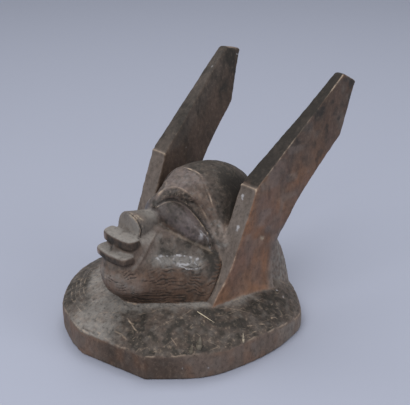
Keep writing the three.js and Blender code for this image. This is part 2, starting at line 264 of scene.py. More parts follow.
@dataclass
class BasePlate:
    """The oval plate that the head lies on, with an upright hewn rim and a hollow underside."""

    centre_y: float = -4
    rim: float = 25
    rim_rear: float = 15
    rim_lowers: tuple[float, float] = (80, 125)
    shoulder: float = 35.8
    foot: float = 43
    shoulder_reach: float = 0.8
    foot_reach: float = 0.6
    hollow_radius: float = 78
    hollow_depth: float = 34
    worn: float = 2.4
    steps: int = 360
    top_slope: float = 0.9
    # The rim's section in parts of the wear: how far in, with how far up from the floor or down from the edge
    rim_foot: tuple[Row, ...] = ((0.4, 0), (0, 0.5))
    rim_edge: tuple[Row, ...] = ((0, 0.8), (0.3, 0.2))
    top_shares: Row = (0.9, 0.8, 0.7, 0.6, 0.3)
    # Degrees from the front towards +X, and the distance from the plate's centre. The first side is straight.
    outline: tuple[Row, ...] = (
        (-3, 129.5), (29, 129), (55, 120), (82, 111), (104, 111), (120, 111), (150, 103), (180, 101),
        (210, 105), (238, 110), (256, 110), (278, 111), (305, 120), (330, 127), (345, 128),
    )

    def __post_init__(self) -> None:
        """Works out the edge's distance for every direction."""
        turn, far = np.radians([row[0] for row in self.outline]), np.array([row[1] for row in self.outline])
        points = np.stack([far * np.sin(turn), -far * np.cos(turn)], axis=1)
        curve = spline([*points[1:], points[0]], 24)
        side = points[0] + (points[1] - points[0]) * np.linspace(0, 1, 24)[:, None]
        edge = np.vstack([side, curve])
        angles = np.arctan2(edge[:, 0], -edge[:, 1])
        order = np.argsort(angles)
        self.edge_angles = angles[order]
        self.edge_distances = np.linalg.norm(edge, axis=1)[order]

    def reach(self, angle: np.ndarray) -> np.ndarray:
        """Distance of the edge from the centre."""
        return np.interp(angle, self.edge_angles, self.edge_distances, period=2 * np.pi)

    def polar(self, points: np.ndarray) -> tuple[np.ndarray, np.ndarray, np.ndarray]:
        """Angle from the front, distance from the centre as a share of the edge's, and that distance."""
        across, along = points[:, 0], points[:, 1] - self.centre_y
        angle = np.arctan2(across, -along)
        reach = self.reach(angle)
        return angle, np.hypot(across, along) / reach, reach

    def rim_height(self, angle: np.ndarray) -> np.ndarray:
        """Height of the upright edge, which is lower in the rear."""
        lowered = rise(*self.rim_lowers, np.abs(np.degrees(angle)))
        return self.rim + (self.rim_rear - self.rim) * lowered

    def top(self, angle: np.ndarray, share: np.ndarray) -> np.ndarray:
        """Height of the plate's top."""
        outer = (share - self.shoulder_reach) / (1 - self.shoulder_reach)
        slope = self.shoulder + (self.rim_height(angle) - self.shoulder) * outer
        inner = (share - self.foot_reach) / (self.shoulder_reach - self.foot_reach)
        raised = self.foot + (self.shoulder - self.foot) * np.clip(inner, 0, 1)
        return np.where(outer > 0, slope, raised)

    def distance(self, points: np.ndarray) -> np.ndarray:
        """Rough distance from the plate's surface."""
        angle, share, reach = self.polar(points)
        return np.maximum((share - 1) * reach, (points[:, 2] - self.top(angle, share)) * self.top_slope)

    def build(self, bm: bmesh.types.BMesh) -> None:
        """Raises the plate from a ring on the floor, with a worn upper edge."""
        turn = np.arange(self.steps) * (2 * np.pi / self.steps)
        angle = np.arctan2(-np.sin(turn), -np.cos(turn))
        reach, rim = self.reach(angle), self.rim_height(angle)
        worn = self.worn / reach
        levels = [(1 - inwards * worn, 0 * rim + up * self.worn) for inwards, up in self.rim_foot]
        levels += [(1 - inwards * worn, rim - down * self.worn) for inwards, down in self.rim_edge]
        shares = [1 - worn, *(np.full_like(rim, share) for share in self.top_shares)]
        levels += [(share, self.top(angle, share)) for share in shares]
        across, ahead = np.sin(angle) * reach, np.cos(angle) * reach
        raise_rings(bm, [
            np.stack([across * share, self.centre_y - ahead * share, height], axis=1)
            for share, height in levels
        ])

    def hollow(self, bm: bmesh.types.BMesh) -> None:
        """A flattened ball, which cuts the hollow for the wearer's crown."""
        size = Vector((self.hollow_radius, self.hollow_radius, self.hollow_depth))
        ball = bmesh.ops.create_uvsphere(bm, u_segments=160, v_segments=80, radius=1)["verts"]
        bmesh.ops.scale(bm, vec=size, verts=ball)
        bmesh.ops.translate(bm, vec=(0, self.centre_y, 0), verts=ball)


@dataclass
class HareEar:
    """A long plank-like ear that leans back, with a step in its front edge."""

    # Front and rear edge from inside the plate to the tip, as inner and outer X, then Y and Z
    front: tuple[Row, ...] = (
        (40, 68, -42, 30), (58, 66, -37, 45), (58, 69, -21, 70), (51, 70.5, -12, 92), (51, 71.8, 4, 130),
        (52, 71.5, 10, 146), (64.4, 77.7, 76, 201.5), (71.3, 81.2, 113, 233.5),
    )
    rear: tuple[Row, ...] = (
        (40, 82, 34, 30), (44, 74, 37, 47), (48, 70.5, 43, 77), (52, 72, 51, 95), (56, 74.5, 63, 118),
        (60, 77.5, 84, 143), (64, 81.2, 115, 174), (70.6, 80.5, 133, 223.5),
    )
    # The tip of the -X ear, which is cut off flatter
    far_tip: tuple[Row, Row] = ((71.3, 81.2, 113, 232), (70.6, 80.5, 133, 227.5))
    kink: int = 5
    kink_height: float = 146
    rear_corner: int = 6
    steps: int = 7
    worn: float = 1.4
    worn_tip: float = 2.2
    end_slope: float = 0.85
    # Where points can be near the front edge: past this X and above this Z. All others count as far away.
    beside: tuple[float, float] = (45, 35)
    far_away: float = 99

    def __post_init__(self) -> None:
        """Works out both edges' curves."""
        self.front_curve = spline(self.front, self.steps, (self.kink,))
        self.rear_curve = spline(self.rear, self.steps, (self.rear_corner,))

    def build(self, bm: bmesh.types.BMesh, side: int) -> None:
        """Raises one ear through its four-sided sections.

        Args:
            bm: What the ear is added to.
            side: 1 for the +X ear and -1 for the other.
        """
        front, rear = self.front_curve, self.rear_curve
        if side < 0:
            front = spline((*self.front[:-1], self.far_tip[0]), self.steps, (self.kink,))
            rear = spline((*self.rear[:-1], self.far_tip[1]), self.steps, (self.rear_corner,))
        rings = []
        for ahead, behind in zip(front, rear):
            corners = [
                (ahead[0], ahead[2], ahead[3]), (ahead[1], ahead[2], ahead[3]),
                (behind[1], behind[2], behind[3]), (behind[0], behind[2], behind[3]),
            ]
            rings.append(np.array(corners) * (side, 1, 1))
        made = raise_rings(bm, rings)
        long_edges = [edge for low, high in zip(made, made[1:]) for edge in edges_between(low, high)]
        tip = next(face for face in made[-1][0].link_faces if all(vert in made[-1] for vert in face.verts))
        bevel_edges(bm, list(tip.edges), self.worn_tip)
        bevel_edges(bm, [edge for edge in long_edges if edge.is_valid], self.worn)

    def place(self, points: np.ndarray) -> tuple[np.ndarray, np.ndarray, np.ndarray, np.ndarray]:
        """Where points are in the ear, on either side.

        Returns:
            The share of the way from the inner to the outer face, the share of the way from the front to the
            rear edge, the thickness, and the depth from edge to edge.
        """
        front, rear = self.front_curve, self.rear_curve
        height = points[:, 2]
        ahead = [np.interp(height, front[:, 3], front[:, column]) for column in range(3)]
        behind = [np.interp(height, rear[:, 3], rear[:, column]) for column in range(3)]
        depth = behind[2] - ahead[2]
        back = (points[:, 1] - ahead[2]) / depth
        kept = np.clip(back, 0, 1)
        inner = ahead[0] + (behind[0] - ahead[0]) * kept
        thickness = ahead[1] + (behind[1] - ahead[1]) * kept - inner
        return (np.abs(points[:, 0]) - inner) / thickness, back, thickness, depth

    def edge_distance(self, points: np.ndarray, column: int) -> np.ndarray:
        """Distance from the front edge on the inner face, as column 0, or on the outer face, as column 1."""
        found = np.full(len(points), float(self.far_away))
        beside = (np.abs(points[:, 0]) > self.beside[0]) & (points[:, 2] > self.beside[1])
        found[beside] = path_distance(mirrored(points[beside]), self.front_curve[:, [column, 2, 3]])
        return found

    def distance(self, points: np.ndarray) -> np.ndarray:
        """Rough distance from the nearer ear's surface."""
        out, back, thickness, depth = self.place(points)
        sides = np.maximum(-out, out - 1) * thickness
        ends = np.maximum(-back, back - 1) * depth
        return np.maximum(sides, ends * self.end_slope)


@dataclass
class CarvedHead:
    """The head without its nose, lips and ears: jaw, eye panels, forehead, cap of hair and nape."""

    heart: Place = (0, -14, 84)
    farthest: float = 130
    bottom: float = 12
    stride: float = 2
    halvings: int = 10
    rounds: tuple[int, int] = (400, 210)
    # Level sections at a height: half the width, and the reach to the front or rear
    jaw_sections: tuple[Row, ...] = (
        (30, 67, 60), (42, 66, 73), (60, 61, 87), (74, 56, 91), (92, 52, 88), (115, 50, 82),
    )
    jaw_y: float = -15
    jaw_point: float = 1.38
    jaw_rear_reach: float = 90
    jaw_back_y: float = 4
    jaw_top: float = 112
    cheek_middle: Place = (31, -39, 95)
    cheek_normal: Place = (0.72, -0.26, 0.64)
    cheek_round: float = 12
    chin: tuple[Place, Place, float] = ((0, -72, 70), (28, 30, 22.5), 2.3)
    chin_round: float = 12
    mouth: tuple[Place, Place, float] = ((0, -75, 90), (22, 19, 19), 3.4)
    mouth_round: float = 6
    eye_middle: Place = (27, -33, 108)
    eye_normal: Place = (0.825, -0.414, 0.385)
    temple: tuple[Place, Place] = ((21, -16, 137), (0.569, -0.4, 0.718))
    forehead: tuple[Place, Place] = ((0, -25, 142.5), (0, -0.281, 0.96))
    bridge: tuple[Place, Place] = ((0, -50, 131), (0, -0.88, 0.47))
    panel_round: float = 8
    bridge_round: float = 6
    face_half_width: float = 50
    face_side_round: float = 5
    face_round: float = 3
    hairline_y: float = -5
    hair_overlap: float = 2
    cheek_overlap: float = 4
    eye_along: Place = (0.564, 0.643, -0.517)
    eye_up: Place = (-0.034, 0.644, 0.765)
    socket_left: float = -38
    socket_right: float = 43
    socket_floor: float = -14.5
    brow_rise: float = 41
    brow_lean: float = 0.75
    brow_fullness: float = 0.62
    socket_depth: float = 5.5
    socket_wall: float = 5
    socket_outer_wall: float = 16
    socket_reach: tuple[float, float] = (12, 20)
    eyeball: tuple[Place, Place, float] = ((-3, 0.5, -8), (34, 13.5, 10.5), 1.9)
    eyeball_slope: float = 0.14
    eyeball_round: float = 2
    cap_centre: Place = (0, 12, 94)
    cap_radii: Place = (48, 74, 55)
    cap_back: float = 63
    cap_edge_round: float = 1.5
    cap_seam: float = 0.6
    nape_sections: tuple[Row, ...] = (
        (20, 73, 84), (42, 67.5, 81), (57, 66.5, 75), (72, 65, 66), (95, 58, 59), (120, 40, 46),
    )
    nape_y: float = 10
    nape_front: tuple[float, float] = (-14, 6)
    nape_top: tuple[float, float] = (118, 30)
    nape_squareness: float = 3
    nape_round: float = 10

    @staticmethod
    def section(rows: Sequence[Row], height: np.ndarray) -> tuple[np.ndarray, np.ndarray]:
        """Half the width and the reach of level sections at a height."""
        table = np.array(rows)
        return np.interp(height, table[:, 0], table[:, 1]), np.interp(height, table[:, 0], table[:, 2])

    @staticmethod
    def oval(points: np.ndarray, form: tuple[Place, Place, float]) -> np.ndarray:
        """Rough distance from an ellipsoid given as its centre, radii and squareness."""
        centre, radii, squareness = form
        parts = (points - np.array(centre)) / np.array(radii)
        return (power_round(parts.T, squareness) - 1) * min(radii)

    def jaw(self, points: np.ndarray) -> np.ndarray:
        """Jaw and cheeks: an upright wall with a blunt point in front, cut off by the sloping cheek."""
        across, along, height = points.T
        width, reach = self.section(self.jaw_sections, height)
        ahead = (power_round((across / width, (along - self.jaw_y) / reach), self.jaw_point) - 1) * width
        behind = (power_round((across / width, (along - self.jaw_y) / self.jaw_rear_reach), 2) - 1) * width
        wall = np.where(along < self.jaw_y, ahead, behind)
        cheek = plane_distance(points, self.cheek_middle, self.cheek_normal)
        capped = common(wall, cheek, self.cheek_round)
        return np.maximum(capped, np.maximum(along - self.jaw_back_y, height - self.jaw_top))

    def on_panel(self, points: np.ndarray) -> tuple[np.ndarray, np.ndarray, np.ndarray]:
        """Places on the eye's flat panel: along the eye, up across it, and off the panel."""
        away = points - np.array(self.eye_middle)
        return away @ self.eye_along, away @ self.eye_up, away @ self.eye_normal

    def upper_face(self, points: np.ndarray) -> np.ndarray:
        """Distance from the flat panels of the upper face, with nothing sunk in them yet."""
        depth = plane_distance(points, self.eye_middle, self.eye_normal)
        depth = common(depth, plane_distance(points, *self.temple), self.panel_round)
        depth = common(depth, plane_distance(points, *self.forehead), self.panel_round)
        depth = common(depth, plane_distance(points, *self.bridge), self.bridge_round)
        depth = common(depth, points[:, 0] - self.face_half_width, self.face_side_round)
        below = self.socket_floor - self.cheek_overlap - self.on_panel(points)[1]
        return np.maximum(depth, np.maximum(points[:, 1] - self.hairline_y - self.hair_overlap, below))

    def brow_height(self, along: np.ndarray) -> np.ndarray:
        """Height of the brow's arch over the eye's panel."""
        share = np.clip((along - self.socket_left) / (self.socket_right - self.socket_left), 0, 1)
        arch = np.sin(np.pi * share**self.brow_lean).clip(0) ** self.brow_fullness
        return self.socket_floor + self.brow_rise * arch

    def sunk(self, points: np.ndarray) -> np.ndarray:
        """Depth of the eye socket."""
        along, up, off = self.on_panel(points)
        inside = np.minimum(self.brow_height(along) - up, up - self.socket_floor)
        inside = np.minimum(inside, along - self.socket_left)
        runs_out = rise(0, self.socket_outer_wall, self.socket_right - along)
        fades = 1 - rise(*self.socket_reach, np.abs(off))
        return self.socket_depth * runs_out * fades * rise(0, self.socket_wall, inside)

    def eye(self, points: np.ndarray) -> np.ndarray:
        """Distance from the long almond of the closed eye."""
        along, up, off = self.on_panel(points)
        return self.oval(np.stack([along, up + self.eyeball_slope * along, off], axis=1), self.eyeball)

    def cap(self, points: np.ndarray) -> np.ndarray:
        """Distance from the smooth dome of hair."""
        across, ahead, upwards = self.cap_radii
        reach = np.where(points[:, 1] > self.cap_centre[1], self.cap_back, ahead)
        away = points - np.array(self.cap_centre)
        round_share = power_round((away[:, 0] / across, away[:, 1] / reach, away[:, 2] / upwards), 2)
        return common((round_share - 1) * across, self.hairline_y - points[:, 1], self.cap_edge_round)

    def nape(self, points: np.ndarray) -> np.ndarray:
        """Distance from the back of the head and the neck, which spread out to the plate."""
        across, along, height = points.T
        width, reach = self.section(self.nape_sections, height)
        behind = np.maximum(along - self.nape_y, 0) / reach
        wall = (power_round((across / width, behind), self.nape_squareness) - 1) * width
        wall = common(wall, self.nape_front[0] - along, self.nape_front[1])
        return common(wall, height - self.nape_top[0], self.nape_top[1])

    def distance(self, places: np.ndarray) -> np.ndarray:
        """Rough distance from the head's surface."""
        points = mirrored(places)
        depth = joined(self.jaw(points), self.oval(points, self.chin), self.chin_round)
        depth = joined(depth, self.oval(points, self.mouth), self.mouth_round)
        depth = joined(depth, self.upper_face(points), self.face_round)
        depth = joined(depth + self.sunk(points), self.eye(points), self.eyeball_round)
        depth = joined(depth, self.cap(points), self.cap_seam)
        return np.maximum(joined(depth, self.nape(points), self.nape_round), self.bottom - points[:, 2])

    def surface(self, directions: np.ndarray) -> np.ndarray:
        """Where rays from the heart leave the head, found by steps inwards and by halving the last step."""
        heart = np.array(self.heart)
        inner = np.full(len(directions), self.farthest)
        outside = np.arange(len(directions))
        while len(outside):
            places = heart + directions[outside] * inner[outside, None]
            still = (self.distance(places) > 0) & (inner[outside] > self.stride)
            outside = outside[still]
            inner[outside] -= self.stride
        outer = inner + self.stride
        for _ in range(self.halvings):
            middle = (inner + outer) / 2
            beyond = self.distance(heart + directions * middle[:, None]) > 0
            outer, inner = np.where(beyond, middle, outer), np.where(beyond, inner, middle)
        return heart + directions * inner[:, None]

    def build(self, bm: bmesh.types.BMesh) -> None:
        """Moves the points of a ball, whose poles are at the ears, out to the head's surface."""
        around, across = self.rounds
        verts = bmesh.ops.create_uvsphere(bm, u_segments=around, v_segments=across, radius=1)["verts"]
        bmesh.ops.rotate(bm, cent=(0, 0, 0), matrix=Matrix.Rotation(np.pi / 2, 3, "Y"), verts=verts)
        directions = np.array([vert.co.normalized() for vert in verts])
        for vert, place in zip(verts, self.surface(directions)):
            vert.co = place


@dataclass
class BlockNose:
    """A short block with an upright D-shaped front face, which narrows towards its root."""

    half_width: float = 15
    height: float = 23
    base: float = 104.5
    front_y: float = -80
    lean: float = 0.07
    depth: float = 44
    narrowing: float = 0.6
    lowering: float = 0.4
    bulge: float = 3
    corner: float = 0.75
    top_flat: float = 10
    worn: float = 1.6
    steps: int = 14
    sections: Row = (0, 0.35, 0.7, 1)
    arch_power: float = 2.6
    front_slope: float = 0.9

    def build(self, bm: bmesh.types.BMesh) -> None:
        """Raises the D backwards into the face."""
        shoulder = self.height * self.corner
        wide, flat, tall = self.half_width, self.top_flat, self.height
        side = wide + self.bulge
        outline = np.vstack([
            bezier([(-wide, 0), (-side, shoulder), (-flat, tall), (0, tall)], self.steps),
            bezier([(0, tall), (flat, tall), (side, shoulder), (wide, 0)], self.steps),
            bezier([(wide, 0), (0, 0), (-wide, 0)], self.steps // 2),
        ])
        rings = []
        for share in self.sections:
            across = outline[:, 0] * (1 - self.narrowing * share)
            ahead = self.front_y + outline[:, 1] * self.lean * (1 - share) + self.depth * share
            height = self.base + outline[:, 1] * (1 - self.lowering * share)
            rings.append(np.stack([across, ahead, height], axis=1))
        made = raise_rings(bm, rings)
        bevel_edges(bm, list(caps_at(made[0])[0].edges), self.worn)

    def distance(self, points: np.ndarray) -> np.ndarray:
        """Rough distance from the nose."""
        up = points[:, 2] - self.base
        share = np.clip((points[:, 1] - self.front_y) / self.depth, 0, 1)
        wide = self.half_width * (1 - self.narrowing * share)
        tall = self.height * (1 - self.lowering * share)
        arch = (power_round((points[:, 0] / wide, np.maximum(up, 0) / tall), self.arch_power) - 1) * wide
        front = self.front_y + np.clip(up, 0, None) * self.lean - points[:, 1]
        rear = points[:, 1] - self.front_y - self.depth
        return np.maximum(np.maximum(arch, -up), np.maximum(front * self.front_slope, rear))


@dataclass
class SlabLip:
    """A straight lip, as a slab with rounded corners that bows forward a little."""

    front_y: float
    height: float
    thickness: float
    half_length: float
    depth: float = 14
    bow: float = 2
    corner: float = 5
    worn: float = 1.6
    steps: int = 10
    # How far the ends and the back swell, and how far back the rounded ends and the corners lie
    swell: float = 1
    end_y: float = 2
    corner_y: float = 1
    # How far back the front lies at its ends, in the rough distance
    front_curve: float = 4

    def build(self, bm: bmesh.types.BMesh) -> None:
        """Raises the slab from its outline, seen from above."""
        long, rear = self.half_length, self.depth
        swollen, corner = long + self.swell, long - self.corner
        outline = np.vstack([
            bezier([(-long, rear), (-swollen, self.end_y), (-corner, self.corner_y)], self.steps),
            bezier([(-corner, self.corner_y), (0, -self.bow), (corner, self.corner_y)], self.steps),
            bezier([(corner, self.corner_y), (swollen, self.end_y), (long, rear)], self.steps),
            bezier([(long, rear), (0, rear + self.swell), (-long, rear)], self.steps),
        ])
        half = self.thickness / 2
        rings = [
            np.stack([outline[:, 0], outline[:, 1] + self.front_y, np.full(len(outline), level)], axis=1)
            for level in (self.height - half, self.height + half)
        ]
        caps = [face for ring in raise_rings(bm, rings) for face in caps_at(ring)]
        bevel_edges(bm, list({edge for face in caps for edge in face.edges}), self.worn)

    def distance(self, points: np.ndarray) -> np.ndarray:
        """Rough distance from the lip."""
        ends = np.abs(points[:, 0]) - self.half_length
        level = np.abs(points[:, 2] - self.height) - self.thickness / 2
        bowed = self.front_curve * (points[:, 0] / self.half_length) ** 2
        front = self.front_y - self.bow / 2 - points[:, 1] + bowed
        rear = points[:, 1] - self.front_y - self.depth
        return np.maximum(np.maximum(ends, level), np.maximum(front, rear))


@dataclass
class Splinter:
    """A lifted sliver of wood that stands on the surface."""

    foot: Place
    tip: Place
    width: float
    bare: float = 0.12
    # The foot's radius as a share of the width, the tip's radius, the widest place as a share of the
    # length, and how flat it is
    foot_share: float = 0.35
    point: float = 0.05
    belly: float = 0.35
    flatness: float = 0.3
    sides: int = 6

    def build(self, bm: bmesh.types.BMesh) -> None:
        """A flattened spindle from its foot to its tip."""
        start, end = Vector(self.foot), Vector(self.tip)
        along = end - start
        turn = along.to_track_quat("Z", "Y").to_matrix().to_4x4()
        foot, widest = self.width * self.foot_share, self.width / 2
        parts = ((foot, widest, 0, self.belly), (widest, self.point, self.belly, 1))
        for low, high, first, last in parts:
            length = along.length * (last - first)
            verts = bmesh.ops.create_cone(
                bm, cap_ends=True, segments=self.sides, radius1=low, radius2=high, depth=length
            )["verts"]
            bmesh.ops.scale(bm, vec=(1, self.flatness, 1), verts=verts)
            bmesh.ops.translate(bm, vec=(0, 0, along.length * (first + last) / 2), verts=verts)
            bmesh.ops.transform(bm, matrix=Matrix.Translation(start) @ turn, verts=verts)


@dataclass
class Stroke:
    """A thin mark in the finish, along a path on the surface."""

    tone: str
    strength: float
    width: float
    path: tuple[Place, ...]


@dataclass
class Surface:
    """What the carving and the finish need to know at each point of the mesh."""

    points: np.ndarray
    normals: np.ndarray
    weights: Masks
    curve: np.ndarray
    wide_curve: np.ndarray

    @classmethod
    def measured(cls, points: np.ndarray, normals: np.ndarray, weights: Masks, edges: Edges) -> Surface:
        """The surface with its curving, as how far points stand out from the average of those around them."""
        near, wide = edges.average(points), edges.blurred(points, WIDE_ROUNDS)
        curves = (-np.einsum("ij,ij->i", around - points, normals) for around in (near, wide))
        return cls(points, normals, weights, *curves)

    def __post_init__(self) -> None:
        """Keeps a copy of the points with all of them moved to the +X side."""
        self.folded = mirrored(self.points)

    def on(self, *names: str) -> np.ndarray:
        """How far points belong to any of the named parts, from 0 to 1."""
        return np.clip(sum(self.weights[name] for name in names), 0, 1)

    def near(self, *path: Place, width: float) -> np.ndarray:
        """Bell-shaped bump along a path of points."""
        route = path if len(path) > 1 else (path[0], tuple(np.array(path[0]) + TINY))
        return bump_at(path_distance(self.points, route), width)


class Edges:
    """The mesh's edges, for averages over neighbours."""

    def __init__(self, mesh: bpy.types.Mesh) -> None:
        """Reads the edges, which stay the same while points move."""
        ends = np.empty(len(mesh.edges) * 2, dtype=np.int64)
        mesh.edges.foreach_get("vertices", ends)
        pairs = ends.reshape(-1, 2)
        self.here = np.concatenate([pairs[:, 0], pairs[:, 1]])
        self.there = np.concatenate([pairs[:, 1], pairs[:, 0]])
        self.count = len(mesh.vertices)
        self.degree = np.maximum(np.bincount(self.here, minlength=self.count), 1)

    def average(self, values: np.ndarray) -> np.ndarray:
        """Average of each point's neighbours."""
        if values.ndim == 2:
            return np.stack([self.average(column) for column in values.T], axis=1)
        return np.bincount(self.here, weights=values[self.there], minlength=self.count) / self.degree

    def blurred(self, values: np.ndarray, rounds: int) -> np.ndarray:
        """Values spread over their neighbours a number of times."""
        for _ in range(rounds):
            values = OWN_SHARE * values + (1 - OWN_SHARE) * self.average(values)
        return values


class Tones:
    """How much of each tone there is at each point: the old surface's own tones, and painted light and shade.
    """

    # grime also holds painted shade in hollows, grooves and furrows; dark and ash also hold painted shade and
    # painted light in places
    NAMES = ("wear", "grime", "rust", "ash", "dark", "plum", "shine", "scratched", "chalk", "straw")

    def __init__(self, count: int) -> None:
        """Starts without any tone."""
        self.shares = {name: np.zeros(count) for name in self.NAMES}

    def add(self, mask: np.ndarray, **strengths: float) -> None:
        """Adds tones where the mask is, each with its own strength."""
        for name, strength in strengths.items():
            self.shares[name] += strength * mask

    def fade(self, name: str, mask: np.ndarray) -> None:
        """Takes a share of a tone away where the mask is."""
        self.shares[name] *= 1 - mask


@dataclass
class Headdress:
    """The whole carving: it joins its parts to one skin, and carves the fine relief into that."""

    plate: BasePlate
    ear: HareEar
    head: CarvedHead
    nose: BlockNose
    lips: tuple[SlabLip, ...]
    # The engraved line of the upper lid and the edge of the brow, along and up the eye's panel
    lid: tuple[Row, ...] = (
        (-32.9, 5.9), (-28.6, 11.6), (-22.6, 15.8), (-14.9, 17.6), (-6.5, 17.3), (0.8, 14.9), (8.6, 11.7),
        (15.2, 7.9), (21.1, 3.8), (26.4, -0.7), (31, -5),
    )
    brow: tuple[Row, ...] = (
        (-36, 8), (-33.3, 18.9), (-28.8, 24.3), (-22.6, 27.6), (-14.9, 27.4), (-5.9, 24.9), (2.1, 21.8),
        (11.6, 16.3), (19.3, 10.1), (27.2, 2.9), (34.8, -4.5),
    )
    hair_edge: tuple[Place, ...] = (
        (0, -4.7, 148.4), (10.2, -4, 147.2), (15.9, -4.3, 145), (23.1, -6, 138.7), (27.8, -6.6, 132.4),
        (32.5, -7.3, 125.1), (37.4, -8.2, 116.9), (44.3, -9.8, 107.7), (50.7, -13.4, 95.9), (53.2, -14.4, 87),
    )
    cheek_ridge: tuple[Place, ...] = (
        (12, -56, 106), (18.6, -46.8, 103.9), (25.2, -40.5, 99.1), (33.4, -29.7, 91.2), (40.6, -21.3, 84.7),
        (52.6, -18.9, 76.1),
    )
    # The glossy patch on the cheek, where a highlight is also painted into the colour
    cheek_gloss_and_highlight: tuple[Place, ...] = ((28, -70, 87), (34, -55, 82.5), (45, -36, 77.5))
    jaw_end: tuple[Place, ...] = (
        (56.9, -18, 77.4), (59.5, -23, 66.9), (63.1, -30.2, 55.6), (61.4, -37.3, 44.1),
    )
    jaw_swelling: tuple[Place, ...] = ((57, -31, 46), (55, -22, 74))
    chin_patch: tuple[Place, ...] = ((-8, -106, 76), (8, -104, 73), (22, -93, 68))
    bridge_patch: tuple[Place, ...] = ((-6, -51, 122), (5, -57, 121))
    nose_bruise: tuple[Place, ...] = ((6, -74, 126), (11, -71, 122))
    nasolabial: tuple[Place, ...] = (
        (10.3, -51.4, 109.6), (17, -63, 106.9), (19.9, -71.5, 102), (21.4, -78.7, 95.2), (22.2, -85.4, 89),
        (21.6, -93.1, 81.6),
    )
    nose_crack: tuple[Place, ...] = (
        (-1, -78.4, 127.4), (7.5, -78.5, 125.5), (12.3, -77, 121.8), (14.4, -75.6, 115.3), (15, -77.5, 108.2),
    )
    crack_end: float = -2
    edge_split: tuple[Place, ...] = ((-8, -130, 26.5), (8, -128.4, 26.3), (24, -127, 26))
    groove_offset: Place = (0.6, 1.6, 0.4)
    # The step in the ears' front edge: where it is along Y, and how it faces along Y and Z
    step_y: float = 10
    step_lean: tuple[float, float] = (0.65, 0.75)
    # Sizes of the tool marks
    furrow_spacing: float = 3.1
    hatch_spacing: float = 4
    flat_length: float = 13
    ear_flat: float = 11
    under_smoothness: float = 0.8
    # How softly the parts' finishes meet, over how many such widths at most, and the height of the flat foot
    blend_width: float = 0.8
    most_away: float = 30
    flat_foot: float = 1.2
    # Small light flecks in the surface, with their size
    flecks: tuple[tuple[Place, float], ...] = (
        ((58.1, 6.6, 137), 1.6), ((58.6, 6, 134), 1.4), ((63.1, -4.2, 110.4), 1.8), ((62.6, -5, 107), 1.5),
        ((84.9, -92.1, 12.3), 1.1), ((97.4, -74.2, 10), 1.1), ((79.4, 34.1, 36.4), 1.3),
        ((86.5, 34.9, 31.5), 1.2), ((-71, 92, 215.4), 1.3), ((-70.1, 127.8, 222), 1),
        ((-55.3, 40.5, 143.8), 1),
    )
    strokes: tuple[Stroke, ...] = (
        # Pale scuffs on the cheek, which also paint the bright streaks of its highlight
        Stroke("chalk", 0.7, 0.6, (
            (25.9, -68.2, 90.4), (30.8, -57.8, 87.2), (33, -50.7, 87.4), (38.5, -42, 84.4),
            (43.3, -34.2, 81.4),
        )),
        Stroke("chalk", 0.7, 0.7, (
            (32.5, -58.6, 84.4), (33, -55.3, 85.2), (33.4, -57.9, 83.2), (36.2, -53.8, 80.8),
            (40.3, -46.8, 78.6), (42.7, -38.3, 80.1),
        )),
        Stroke("chalk", 0.7, 0.6, (
            (35.6, -56.3, 80.3), (39.3, -50.5, 77.6), (42.2, -47.1, 74.9), (47, -36.2, 74),
        )),
        Stroke("chalk", 0.55, 0.6, ((26, -69.7, 89.7), (29.8, -67.3, 84.7), (33.9, -62.2, 79.9))),
        Stroke("chalk", 0.55, 0.6, ((39.7, -41.7, 82.8), (43.5, -39.1, 78.2), (45.7, -36.4, 76.2))),
        # Scuffs on the eyelid
        Stroke("chalk", 0.45, 0.8, ((30.3, -29.7, 109.4), (33.2, -26.3, 105.4), (36.1, -24.3, 99.5))),
        Stroke("chalk", 0.45, 0.8, (
            (34.3, -24.2, 103.9), (37.4, -20.8, 98.8), (40.5, -19, 91.6), (41.7, -18.6, 85.4),
        )),
        # A pale chip on the near ear
        Stroke("straw", 0.6, 1, ((70.9, 17.3, 96.3), (71.3, 19.3, 94.4), (71.6, 21.6, 93.4))),
        # Bare slivers beside the crack in the nose
        Stroke("straw", 0.8, 0.5, ((-1, -78.5, 126.5), (2.3, -78.6, 124.3), (9.3, -78.6, 124.6))),
        Stroke("straw", 0.7, 0.6, ((6.7, -74.5, 125.4), (9.3, -73.5, 123.7), (11, -71.3, 121.4))),
        Stroke("wear", 0.9, 0.6, ((12.1, -75.9, 121.7), (14.2, -76, 117.1), (15.2, -76.4, 110))),
        # Bare edge at the head's foot
        Stroke("wear", 0.8, 0.7, ((5, -88, 41), (14, -84.5, 41.2), (21.4, -80.9, 41.5), (28, -73.5, 42.5))),
        # Splits along the plate's edge, with a light rim
        Stroke("grime", 0.9, 1, edge_split),
        Stroke("wear", 0.8, 0.8, (
            (-12, -131.8, 25.2), (1.7, -131, 25), (16.3, -129.2, 24.6), (30, -127.6, 24.6),
        )),
        Stroke("wear", 0.7, 0.9, ((2.3, -125, 27.6), (18.6, -125, 26.4), (32.8, -124.4, 25.2))),
        # Scratches on the plate
        Stroke("wear", 0.8, 0.7, ((17.5, -100, 36.4), (38.6, -104.6, 32.6))),
        Stroke("wear", 0.7, 0.7, ((100, 1.8, 28.7), (102.1, 21.9, 23.5))),
        Stroke("wear", 0.7, 0.8, ((97.2, -25.1, 30.9), (102.9, -8, 28))),
        Stroke("wear", 0.5, 0.7, ((103.3, -28.1, 27.8), (106.3, -15.6, 26.7))),
        Stroke("wear", 0.6, 0.7, ((101.5, -57.7, 26), (105.4, -50.5, 25))),
    )
    splinters: tuple[Splinter, ...] = (
        Splinter((90, -78.5, 27), (85, -71.5, 35.5), 6.5),
        Splinter((88.4, -86.4, 25.6), (84.8, -80.8, 32), 4.5),
        Splinter((106.4, -39.6, 24.4), (103, -36.8, 32), 2.4, 0.5),
        Splinter((61.2, -53.1, 41.8), (80.6, -49.4, 37), 1.4, 0.9),
    )

